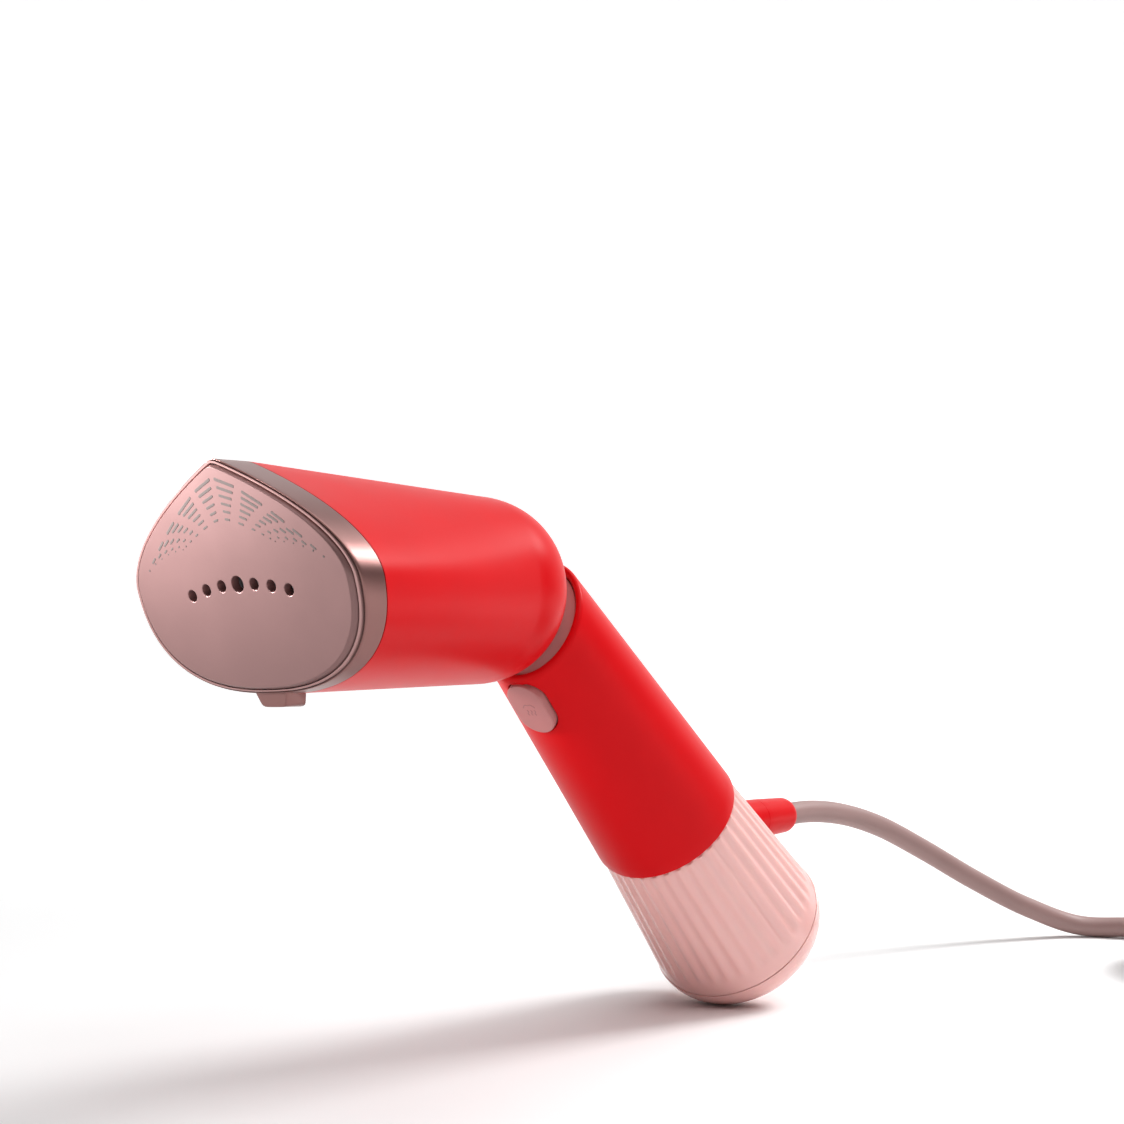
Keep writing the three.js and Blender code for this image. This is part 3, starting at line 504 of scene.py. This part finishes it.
def spine():
    """The rib behind the tank: a rounded bar whose outer line runs straight from inside the handle's
    wall down to the cord's boss, and whose inner side follows the tank at a small clearance."""
    top, low = rim_low + 24, rim_low - 49.5
    t = np.linspace(0, 1, 40)
    z = top + (low - top) * t
    foot = np.sqrt(np.clip(1 - ((t - 0.955) / 0.045).clip(0, 1) ** 2, 0, 1)) * 0.985 + 0.015
    outside = cone_radius(top) - 0.6 + (tank_radius(low) + 4.3 - cone_radius(top) + 0.6) * t
    inside = np.where(z > rim_low, cone_radius(z) - 1.6, tank_radius(z) + 0.6)
    half = 5.7 * foot
    thick = (outside - inside).clip(0.4) / 2
    middle = (outside + inside) / 2
    a = np.linspace(0, 2 * math.pi, 36, endpoint=False)
    squared = np.stack([np.cos(a), np.sin(a)])
    squared = np.sign(squared) * np.abs(squared) ** 0.55
    x = half[:, None] * squared[0]
    y = middle[:, None] + thick[:, None] * squared[1] - (x**2) / (2 * 30)
    return skin(from_handle(np.stack([x, y, np.broadcast_to(z[:, None], x.shape)], axis=2)))


def boss():
    """A round boss on the spine that the cord's sleeve plugs into, level with the floor."""
    r = relief_wide + 0.05
    end = relief_low[1] - 0.1
    profile = [(r, -12), (r, -0.1), (r - 0.1, 0.0), (5.0, 0.0)]
    rings = turned_rings(profile)
    return skin(np.stack([rings[:, :, 0], end + rings[:, :, 2], cord_exit[2] + rings[:, :, 1]], axis=2))


make_piece(
    "handle_shell", joined(handle_shell(), spine(), boss()), housing_red, "handle",
    ["handle_housing"], sharp=40,
)

# ---- Steam button ----
# A long rose push button with round ends. It sits a millimetre proud of its well and carries a
# small moulded steam sign.

button_rose = moulded("button_rose", (0.43, 0.155, 0.15), 0.42, grain=0.03)
button_proud = 0.9
front_slope = math.atan(grip_taper)


def on_front(points):
    """From a flat drawing of across, up and out to the handle's front at the button's height."""
    x, up, out = np.moveaxis(np.asarray(points, float), -1, 0)
    y = -cone_radius(button_up) - out * math.cos(front_slope) + up * math.sin(front_slope)
    z = button_up + up * math.cos(front_slope) + out * math.sin(front_slope)
    return from_handle(np.stack([x, y, z], axis=-1))


def button_rings():
    rows = []
    ease = 0.5
    for inset, out in [
        (0.0, -button_deep), (0.0, button_proud - ease), (0.04, button_proud - 0.6 * ease),
        (0.16, button_proud - 0.22 * ease), (0.34, button_proud - 0.06 * ease), (0.6, button_proud),
    ]:
        line = stadium(button_long - 2 * inset, button_wide - 2 * inset, 72)
        rows.append(np.column_stack([line, np.full(len(line), out)]))
    return on_front(np.array(rows))


def flat_stroke(points, width, out):
    """A thin raised line on the button's face along (across, up) points, flat on top."""
    points = np.array(points, float)
    way = np.gradient(points, axis=0)
    way /= np.linalg.norm(way, axis=1)[:, None]
    side = np.stack([-way[:, 1], way[:, 0]], axis=1) * width / 2
    rows = []
    for edge, height in [(side, out - 0.2), (side, out), (-side, out), (-side, out - 0.2)]:
        rows.append(np.column_stack([points + edge, np.full(len(points), height)]))
    return on_front(np.array(rows).transpose(1, 0, 2))


def steam_sign():
    """A little cloud outline with three wavy lines under it."""
    a = np.linspace(0, math.pi, 24)
    parts = []
    cloud = np.stack([2.1 * np.cos(a), 0.6 + 1.3 * np.sin(a) ** 0.8 + 0.15 * np.cos(6 * a)], axis=1)
    parts.append(skin(flat_stroke(cloud, 0.34, button_proud + 0.04)))
    t = np.linspace(0, 1, 16)
    for x in (-1.3, 0, 1.3):
        wave = np.stack([x + 0.28 * np.sin(2 * math.pi * t), -0.1 - 2.0 * t], axis=1)
        parts.append(skin(flat_stroke(wave, 0.3, button_proud + 0.04)))
    return joined(*parts)


sign_rose = moulded("sign_rose", (0.30, 0.12, 0.12), 0.45)
make_piece("press_button", skin(button_rings()), button_rose, "button", ["steam_button"])
make_piece("steam_sign", steam_sign(), sign_rose, "button")

# ---- Barrel of the head ----
# One red moulding: a drop at the front that grows into a circle, closed by a round rear dome.

head_place = np.array([0, -grip_to_bend * math.cos(bend), grip_to_bend * math.sin(bend)])
barrel_long = 102.6
plate_lean = math.radians(17)
plate_drop = 1.2
plate_half, plate_rise, plate_fall = 37.0, 29.0, 25.8
shoulder_power, chin_power = 1.8, 2.4
point_growth, chin_growth = 0.72, 0.5
plate_bevel, fit_gap = 1.2, 0.3
trim_inner = plate_bevel + fit_gap
trim_outer = trim_inner + 0.9
bezel_inner = trim_outer + fit_gap
bezel_outer = bezel_inner + 0.5
barrel_grow = bezel_outer + 0.5
bezel_deep = 8.3
bezel_lean = math.radians(10.3)
dome_radius, dome_long, dome_back, dome_power = 26.3, 25.5, 18.9, 2.25
quarter = 48
point_round = 1.1


def drop_outline(grow):
    """The plate's outline moved outward by grow, anticlockwise from the right, as (across, up). Each
    upper side falls away from the point by a power of its height, the lower half is a squared
    ellipse, and the point itself is rounded off as a hyperbola is."""
    half = plate_half + grow
    rise = plate_rise + point_growth * grow
    fall = plate_fall + chin_growth * grow
    t = np.arange(quarter) / quarter * math.pi / 2
    up = np.sin(t)
    x = half * (1 - up**shoulder_power)
    slant = rise / (half * shoulder_power)
    y = rise * up - slant * (np.sqrt(x**2 + point_round**2) - x)
    y = y + slant * (np.sqrt(half**2 + point_round**2) - half)
    top = rise - slant * point_round + slant * (np.sqrt(half**2 + point_round**2) - half)
    low_x = half * np.cos(t[1:]) ** (2 / chin_power)
    low_y = -fall * np.sin(t[1:]) ** (2 / chin_power)
    right = np.stack([x, y], axis=1)
    lower = np.stack([low_x, low_y], axis=1)
    turn = np.array([-1.0, 1.0])
    return np.vstack([
        right, [[0, top]], right[::-1] * turn, lower * turn, [[0, -fall]], lower[::-1],
    ])


def from_head(points):
    return np.asarray(points, float) + head_place


def drop_at(grow, back):
    """The outline leaning with the plate, set straight back along the barrel."""
    x, y = drop_outline(grow).T
    return np.stack([
        x, -barrel_long - y * math.sin(plate_lean) + back, y * math.cos(plate_lean) - plate_drop,
    ], axis=1)


def drop_rear(grow, extra):
    """The outline set back to the bezel's rear edge, which leans less."""
    x, y = drop_outline(grow).T
    z = y * math.cos(plate_lean) - plate_drop
    return np.stack([x, -barrel_long + bezel_deep + extra - z * math.tan(bezel_lean), z], axis=1)


def circle_points(radius):
    """As many points as the outline has, a quarter of them in each quarter turn."""
    a = np.arange(4 * quarter) / quarter * math.pi / 2
    return np.stack([radius * np.cos(a), radius * np.sin(a)], axis=1)


def barrel_rings(inset, extra):
    """Straight blend from the drop to the circle, eased at its end so that it runs into the dome, then
    the dome: radius and reach are the cosine and sine of an angle, each to the same power."""
    rear = circle_points(dome_radius - inset)
    rear = np.column_stack([rear[:, 0], np.full(len(rear), -dome_back), rear[:, 1]])
    rows = []
    for share in np.linspace(0, 1, 40):
        front = drop_rear(barrel_grow - inset, extra)
        ease = share + 0.035 * math.sin(math.pi * share) * share**3
        row = front + (rear - front) * share
        row[:, [0, 2]] = front[:, [0, 2]] + (rear - front)[:, [0, 2]] * ease
        rows.append(row)
    for turn in np.linspace(0, math.pi / 2, 36)[1:]:
        radius = (dome_radius - inset) * max(math.cos(turn), 0.0004) ** (2 / dome_power)
        ring = circle_points(radius)
        y = -dome_back + (dome_long - inset) * math.sin(turn) ** (2 / dome_power)
        rows.append(np.column_stack([ring[:, 0], np.full(len(ring), y), ring[:, 1]]))
    return np.array(rows)


def shell(outer, inner):
    """A wall with one open end: up the outer rings, back down the inner ones, and across the edge."""
    outer_points, outer_faces = skin(outer)
    inner_points, inner_faces = skin(inner)
    around = outer.shape[1]
    first = len(outer_points)
    near = np.arange(around)
    edge = np.stack([near, np.roll(near, -1), first + np.roll(near, -1), first + near], axis=1)
    closed = [face for face in outer_faces if len(face) == 4] + [outer_faces[-1]]
    closed += [[i + first for i in face][::-1] for face in inner_faces if len(face) == 4]
    closed += [[i + first for i in inner_faces[-1]][::-1]]
    return np.vstack([outer_points, inner_points]), closed + edge[:, ::-1].tolist()


make_piece(
    "barrel_shell",
    shell(from_head(barrel_rings(0, fit_gap)), from_head(barrel_rings(2.2, fit_gap))),
    housing_red, "head", ["head_housing"], sharp=50,
)

# ---- Bezel and trim ring ----
# A rose metallic ring joins the plate to the barrel. It has a small tab under its chin, and a
# narrow satin ring sits between it and the plate.

bezel_rose = moulded("bezel_rose", (0.25, 0.12, 0.11), 0.30, grain=0.02, Metallic=0.7)
trim_rose = moulded("trim_rose", (0.36, 0.20, 0.19), 0.32, grain=0.02, Metallic=0.4)


def drop_between(grow, back, share):
    """An outline part of the way from a front outline to the bezel's rear edge."""
    front = drop_at(grow, back)
    return front + (drop_rear(barrel_grow, 0) - front) * share


def bezel_ring():
    """Front edge eased, outer wall widening to the barrel, and a straight inner wall."""
    set_back = 1.5
    rows = [drop_at(bezel_inner, set_back + 0.5), drop_at(bezel_inner, set_back + 0.12)]
    rows += [drop_at(bezel_inner + 0.12, set_back), drop_at(bezel_outer - 0.22, set_back)]
    rows += [drop_at(bezel_outer - 0.06, set_back + 0.1)]
    rows += [drop_between(bezel_outer, set_back + 0.3, share) for share in np.linspace(0, 0.97, 10)]
    rows += [drop_rear(barrel_grow, 0) * 1.0 + [0, 0.0, 0]]
    rows += [drop_rear(bezel_inner, 0)]
    return np.array(rows)


def chin_tab():
    """A small block under the bezel's chin, wide at the top, with eased corners."""
    top = -plate_fall - chin_growth * bezel_outer + 1.0
    low = top - 0.8 - 3.8
    a = np.linspace(0, 2 * math.pi, 48, endpoint=False)
    x = np.sign(np.cos(a)) * np.abs(np.cos(a)) ** 0.35
    y = np.sign(np.sin(a)) * np.abs(np.sin(a)) ** 0.35
    height = (top + low) / 2 + (top - low) / 2 * y
    half = 6.0 - 1.8 * (top - height) / (top - low)
    rows = []
    for scale, back in [(0.93, 2.1), (0.985, 2.25), (1.0, 2.6), (1.0, 8.4), (0.96, 8.7)]:
        px = half * x * scale
        py = (top + low) / 2 + (height - (top + low) / 2) * scale
        rows.append(np.stack([
            px, -barrel_long - py * math.sin(plate_lean) + back, py * math.cos(plate_lean) - plate_drop,
        ], axis=1))
    return np.array(rows)


def trim_rings():
    back = 0.9
    return np.array([
        drop_at(trim_inner, back + 2.5), drop_at(trim_inner, back + 0.15),
        drop_at(trim_inner + 0.15, back), drop_at(trim_outer - 0.15, back),
        drop_at(trim_outer, back + 0.15), drop_at(trim_outer, back + 2.5),
    ])


make_piece(
    "bezel_ring", joined(skin(from_head(bezel_ring()), True), skin(from_head(chin_tab()))),
    bezel_rose, "head", ["bezel"], sharp=50,
)
make_piece("trim_ring", skin(from_head(trim_rings()), True), trim_rose, "head", ["plate_trim"])

# ---- Steam plate ----
# A cast plate with a satin rose ceramic coat, a bevelled edge, seven steam holes on a low arc and
# rows of fine raised dashes that follow its upper edges.

plate_rose = moulded("plate_rose", (0.235, 0.125, 0.12), 0.40, grain=0.02, Metallic=0.4)
dash_rose = moulded("dash_rose", (0.13, 0.105, 0.10), 0.7, Specular_IOR_Level=0.1)
hole_pitch, hole_arc = 5.85, 71.0
hole_turn = (np.arange(7) - 3) * hole_pitch / hole_arc
hole_places = np.stack([hole_arc * np.sin(hole_turn), hole_arc * (np.cos(hole_turn) - 1)], axis=1)
hole_sizes = np.where(np.arange(7) == 3, 2.05, 1.5)
plate_thick = 2.6


def on_plate(points):
    """From a flat drawing of across, up and out of the plate's face to the head's frame."""
    x, up, out = np.moveaxis(np.asarray(points, float), -1, 0)
    lean_sin, lean_cos = math.sin(plate_lean), math.cos(plate_lean)
    y = -barrel_long - up * lean_sin - out * lean_cos
    z = up * lean_cos - plate_drop - out * lean_sin
    return from_head(np.stack([x, y, z], axis=-1))


def circle(place, radius, sides=36):
    a = np.linspace(0, 2 * math.pi, sides, endpoint=False)
    return place + radius * np.stack([np.cos(a), np.sin(a)], axis=1)


def plate_body():
    """The face and the back are flat, each with the same holes, and are joined by the bevelled edge
    and by the holes' walls, whose mouths are eased."""
    outline = drop_outline(0)
    mouths = [circle(p, r + 0.22) for p, r in zip(hole_places, hole_sizes)]
    flat = [outline, *mouths]
    sizes = [len(ring) for ring in flat]
    starts = np.concatenate([[0], np.cumsum(sizes)])
    triangles = tessellate_polygon([[Vector((x, y, 0)) for x, y in ring] for ring in flat])
    front = on_plate(np.column_stack([np.vstack(flat), np.zeros(starts[-1])]))
    points = [front]
    faces = [list(t) for t in triangles]
    count = len(front)
    edge = [drop_at(0.18, 0.06), drop_at(0.4, 0.26), drop_at(plate_bevel - 0.15, plate_bevel - 0.2)]
    edge += [drop_at(plate_bevel, plate_bevel + 0.15), drop_at(plate_bevel, plate_thick)]
    edge = from_head(np.array(edge))
    around = len(outline)
    faces += grid_faces(len(edge), around, False, True, count)
    loop = np.arange(around)
    faces += np.stack([loop, np.roll(loop, -1), count + np.roll(loop, -1), count + loop], axis=1).tolist()
    points.append(edge.reshape(-1, 3))
    back_edge = count + (len(edge) - 1) * around
    count += len(edge) * around
    back_rings = [list(range(back_edge, back_edge + around))]
    for place, size, start in zip(hole_places, hole_sizes, starts[1:]):
        sides = 36
        well = [
            on_plate(np.column_stack([circle(place, size + grow), np.full(sides, -deep)]))
            for grow, deep in [(0.06, 0.06), (0.0, 0.22), (0.0, plate_thick - 0.2)]
        ]
        faces += grid_faces(len(well), sides, False, True, count)
        loop = np.arange(sides)
        ring = start + loop
        faces += np.stack([
            count + loop, count + np.roll(loop, -1), np.roll(ring, -1), ring,
        ], axis=1).tolist()
        points += well
        last = count + (len(well) - 1) * sides
        back_rings.append(list(range(last, last + sides)))
        count += len(well) * sides
    back_flat = [drop_outline(plate_bevel), *[circle(p, r) for p, r in zip(hole_places, hole_sizes)]]
    index = [i for ring in back_rings for i in ring]
    back = tessellate_polygon([[Vector((x, y, 0)) for x, y in ring] for ring in back_flat])
    faces += [[index[i] for i in t][::-1] for t in back]
    return np.vstack(points), faces


def plate_dashes():
    """Six rows of short raised dashes. A row's height falls from the middle line as a power of the
    distance across. Each dash is a low rounded bar that lies along its row. Dashes shorten away from
    the middle, and each lower row is drawn in and has smaller dashes, the last ones round dots."""
    sides = 12
    a = np.linspace(0, 2 * math.pi, sides, endpoint=False)
    spans = [(0.5, 7.3), (8.6, 15.7), (17.0, 21.6), (22.9, 26.2), (27.6, 29.7), (31.0, 31.6)]
    parts = []
    for row in range(6):
        draw = 1 - 0.094 * row
        for number, (near, far) in enumerate(spans):
            x = (near + far) / 2 * draw
            half_wide = 0.40 - 0.02 * row - 0.025 * number
            half_long = max(half_wide, (far - near) / 2 * draw * (1 - 0.10 * row))
            y = 25.6 - 1.9 * row - 0.166 * (1 - 0.045 * row) * x**1.4
            fall = 0.166 * 1.4 * (1 - 0.045 * row) * x**0.4
            way = np.array([1, -fall]) / math.hypot(1, fall)
            over = np.array([-way[1], way[0]])
            straight = np.sign(np.cos(a)) * (half_long - half_wide)
            for hand in (-1, 1):
                rings = []
                for grow, out in [(1.0, -0.05), (1.0, 0.04), (0.7, 0.08)]:
                    bar = np.array([x, y]) + (straight + half_wide * grow * np.cos(a))[:, None] * way
                    bar = bar + (half_wide * grow * np.sin(a))[:, None] * over
                    bar[:, 0] *= hand
                    rings.append(np.column_stack([bar, np.full(sides, out)])[::hand])
                parts.append(skin(on_plate(np.array(rings))))
    return joined(*parts)


make_piece("plate_body", plate_body(), plate_rose, "head", ["steam_plate"], sharp=38)
make_piece("plate_dashes", plate_dashes(), dash_rose, "head")

# ---- Water tank ----
# A milky rose tank with narrow grooves down its side that stop short of the base. The base is a
# separate round bowl welded to it at a fine seam.

tank_rose = moulded(
    "tank_rose", (0.84, 0.47, 0.44), 0.22, grain=0.01, vary=0.015, Subsurface_Weight=0.08,
    Subsurface_Scale=0.004, Coat_Weight=0.3, Coat_Roughness=0.12,
)
flute_count, flute_deep, flute_end = 36, 0.7, 6.0
tank_top = rim_low - 0.6
neck_radius, neck_high = 14.0, 7.0


def tank_rings():
    """Grooved side upward, flat shoulder, plain neck, and down again inside. A groove is a narrow
    valley, a raised cosine to a power, and fades out above the seam."""
    sides = flute_count * 8
    a = np.arange(sides) * 2 * math.pi / sides
    valley = (0.5 + 0.5 * np.cos(flute_count * a)) ** 1.1
    rows = []
    for z in np.concatenate([[seam + 0.15, seam + 0.4], np.linspace(seam + 1, tank_top - 0.5, 46)]):
        fade = np.clip((z - seam - flute_end + 1.5) / 3.5, 0, 1)
        fade = fade * fade * (3 - 2 * fade)
        r = tank_radius(z) - 0.05 * (z < seam + 0.3) - flute_deep * fade * valley
        rows.append(np.stack([r * np.cos(a), r * np.sin(a), np.full(sides, z)], axis=1))
    for r, z in [
        (tank_top_radius - 0.8, tank_top), (neck_radius + 0.6, tank_top), (neck_radius, tank_top + 0.6),
        (neck_radius, tank_top + neck_high - 0.4), (neck_radius - 0.4, tank_top + neck_high),
        (neck_radius - 1.6, tank_top + neck_high), (neck_radius - 1.8, tank_top + neck_high - 0.3),
        (neck_radius - 1.8, tank_top - 1.8), (tank_top_radius - 2.3, tank_top - 1.8),
        (tank_base_radius - 2.3, seam + 0.15),
    ]:
        rows.append(np.stack([r * np.cos(a), r * np.sin(a), np.full(sides, z)], axis=1))
    return from_handle(np.array(rows))


def base_rings():
    """A bowl: a short straight wall under the seam, a quarter ellipse, and a flat foot, then the same
    again inside."""
    deep, spigot = 15.0, 27.0
    foot = tank_base_radius - deep - 1
    turn = np.linspace(0, math.pi / 2, 26)
    outer = [(foot * 0.02, seam - deep)]
    outer += [(foot + (deep + 1.2) * math.sin(t), seam - 0.2 - (deep - 0.2) * math.cos(t)) for t in turn]
    outer += [(tank_base_radius + 0.1, seam - 0.08), (spigot, seam - 0.05), (spigot, seam + 1.9)]
    inner = [(spigot - 1.4, seam + 1.9)]
    inner += [(foot + (spigot - 1.4 - foot) * math.sin(t), seam - 0.2 - (deep - 2.2) * math.cos(t))
              for t in turn[::-1]]
    inner += [(foot * 0.02, seam - deep + 2)]
    return from_handle(turned_rings(outer + inner, 144))


make_piece("tank_shell", skin(tank_rings(), True), tank_rose, "tank", ["water_tank"], sharp=40)
make_piece("tank_bowl", skin(base_rings()), tank_rose, "tank", ["tank_base"], sharp=40)

# ---- Swivel collar, neck and inner pieces ----
# These keep their CAD shape. Each gets the finish of its own stuff: rose and white mouldings, cast
# metal, steel, silicone and board.

stuff = {
    "rose_plastic": moulded("collar_rose", (0.52, 0.29, 0.28), 0.4, grain=0.03),
    "cast": moulded("cast_metal", (0.55, 0.56, 0.57), 0.45, grain=0.2, grain_scale=900, Metallic=1.0),
    "steel": moulded("bright_steel", (0.6, 0.6, 0.62), 0.3, grain=0.02, Metallic=1.0),
    "white_plastic": moulded("white_moulding", (0.78, 0.76, 0.73), 0.5, grain=0.05),
    "black_plastic": moulded("black_moulding", (0.02, 0.02, 0.022), 0.5, grain=0.08),
    "silicone": moulded("soft_silicone", (0.70, 0.64, 0.60), 0.6, grain=0.05),
    "board": moulded("green_board", (0.02, 0.14, 0.05), 0.4, grain=0.03),
}
slot_of = {entry["node"]: entry["material_slot"] for entry in frame["record"]["subparts"]}
for node, shown in frame["nodes"].items():
    if not shown.hide_render:
        shown.data.materials.clear()
        shown.data.materials.append(stuff[slot_of[node]])

# ---- Floor and light ----
# A pale floor that sweeps up behind the object, with a painted glow that grows away from it, a broad soft
# light above and a weak one ahead.


def backdrop():
    """A sheet that lies level, then bends up through a quarter circle and stands."""
    width, front, back, bend_radius, high = 6000.0, -3000.0, 2600.0, 900.0, 3600.0
    turn = np.linspace(0, math.pi / 2, 24)
    y = np.concatenate([[front], back + bend_radius * np.sin(turn), [back + bend_radius]])
    z = np.concatenate([[0], bend_radius * (1 - np.cos(turn)), [high]])
    x = np.array([-width, width])
    grid = np.stack([
        np.broadcast_to(x, (len(y), 2)), np.repeat(y[:, None], 2, 1), np.repeat(z[:, None], 2, 1),
    ], axis=2)
    return grid.reshape(-1, 3), grid_faces(len(y), 2, False, False)


view_turn = math.atan2(0.6173, 0.7864)
sheet_points, sheet_faces = backdrop()
turned = Matrix.Rotation(view_turn, 3, "Z")
sheet_points = sheet_points @ np.array(turned).T + [0, 0, floor_level - 0.2]
sheet = bpy.data.meshes.new("backdrop")
sheet.from_pydata((sheet_points * millimetre).tolist(), [], sheet_faces)
sheet.shade_smooth()


def painted_glow_paper(near, far, glow):
    """White paper with painted light: it glows by its own emission, standing in for lamplight on it, more
    with distance from the origin, from nothing at near to the full glow at far."""
    material = moulded("paper", (0.9, 0.9, 0.9), 0.9, grain=0.0, vary=0.0, Specular_IOR_Level=0.0)
    nodes, links = material.node_tree.nodes, material.node_tree.links
    shader = nodes["Principled BSDF"]
    place = nodes.new("ShaderNodeTexCoord")
    distance = nodes.new("ShaderNodeVectorMath")
    distance.operation = "LENGTH"
    rise = nodes.new("ShaderNodeMapRange")
    rise.interpolation_type = "SMOOTHSTEP"
    rise.inputs["From Min"].default_value = near
    rise.inputs["From Max"].default_value = far
    rise.inputs["To Max"].default_value = glow
    links.new(place.outputs["Object"], distance.inputs[0])
    links.new(distance.outputs["Value"], rise.inputs["Value"])
    links.new(rise.outputs["Result"], shader.inputs["Emission Strength"])
    shader.inputs["Emission Color"].default_value = (1, 1, 1, 1)
    return material


# The sheet's glow is painted light, emitted by the paper itself, and it is zero near the object so the
# shade there stays.
sheet.materials.append(painted_glow_paper(0.30, 1.2, 0.62))
backdrop_sheet = bpy.data.objects.new("backdrop", sheet)
bpy.context.scene.collection.objects.link(backdrop_sheet)

world = bpy.data.worlds.new("studio")
world.use_nodes = True
world.node_tree.nodes["Background"].inputs["Color"].default_value = (1, 1, 1, 1)
world.node_tree.nodes["Background"].inputs["Strength"].default_value = 0.12
bpy.context.scene.world = world


def soft_light(name, place, aim, size, power, spread=180):
    """A square soft light at a place, turned to face a point. A small spread keeps it to a narrow beam."""
    data = bpy.data.lights.new(name, "AREA")
    data.shape = "RECTANGLE"
    data.size, data.size_y = size
    data.energy = power
    data.spread = math.radians(spread)
    lamp = bpy.data.objects.new(name, data)
    lamp.location = place
    lamp.rotation_euler = (Vector(aim) - Vector(place)).to_track_quat("-Z", "Y").to_euler()
    bpy.context.scene.collection.objects.link(lamp)


soft_light("overhead", (0.3, 0.3, 1.8), (0, 0, 0), (2.2, 2.2), 28)
soft_light("key", (0.9, -0.3, 0.95), (0, 0, 0), (0.4, 0.4), 2.5)
soft_light("plate_side", (-0.13, -0.26, 0.10), (-0.03, -0.15, 0.08), (0.06, 0.06), 0.15, spread=50)
soft_light("rim", (0.45, 0.75, 0.8), (0, -0.05, 0.04), (0.4, 0.4), 10)
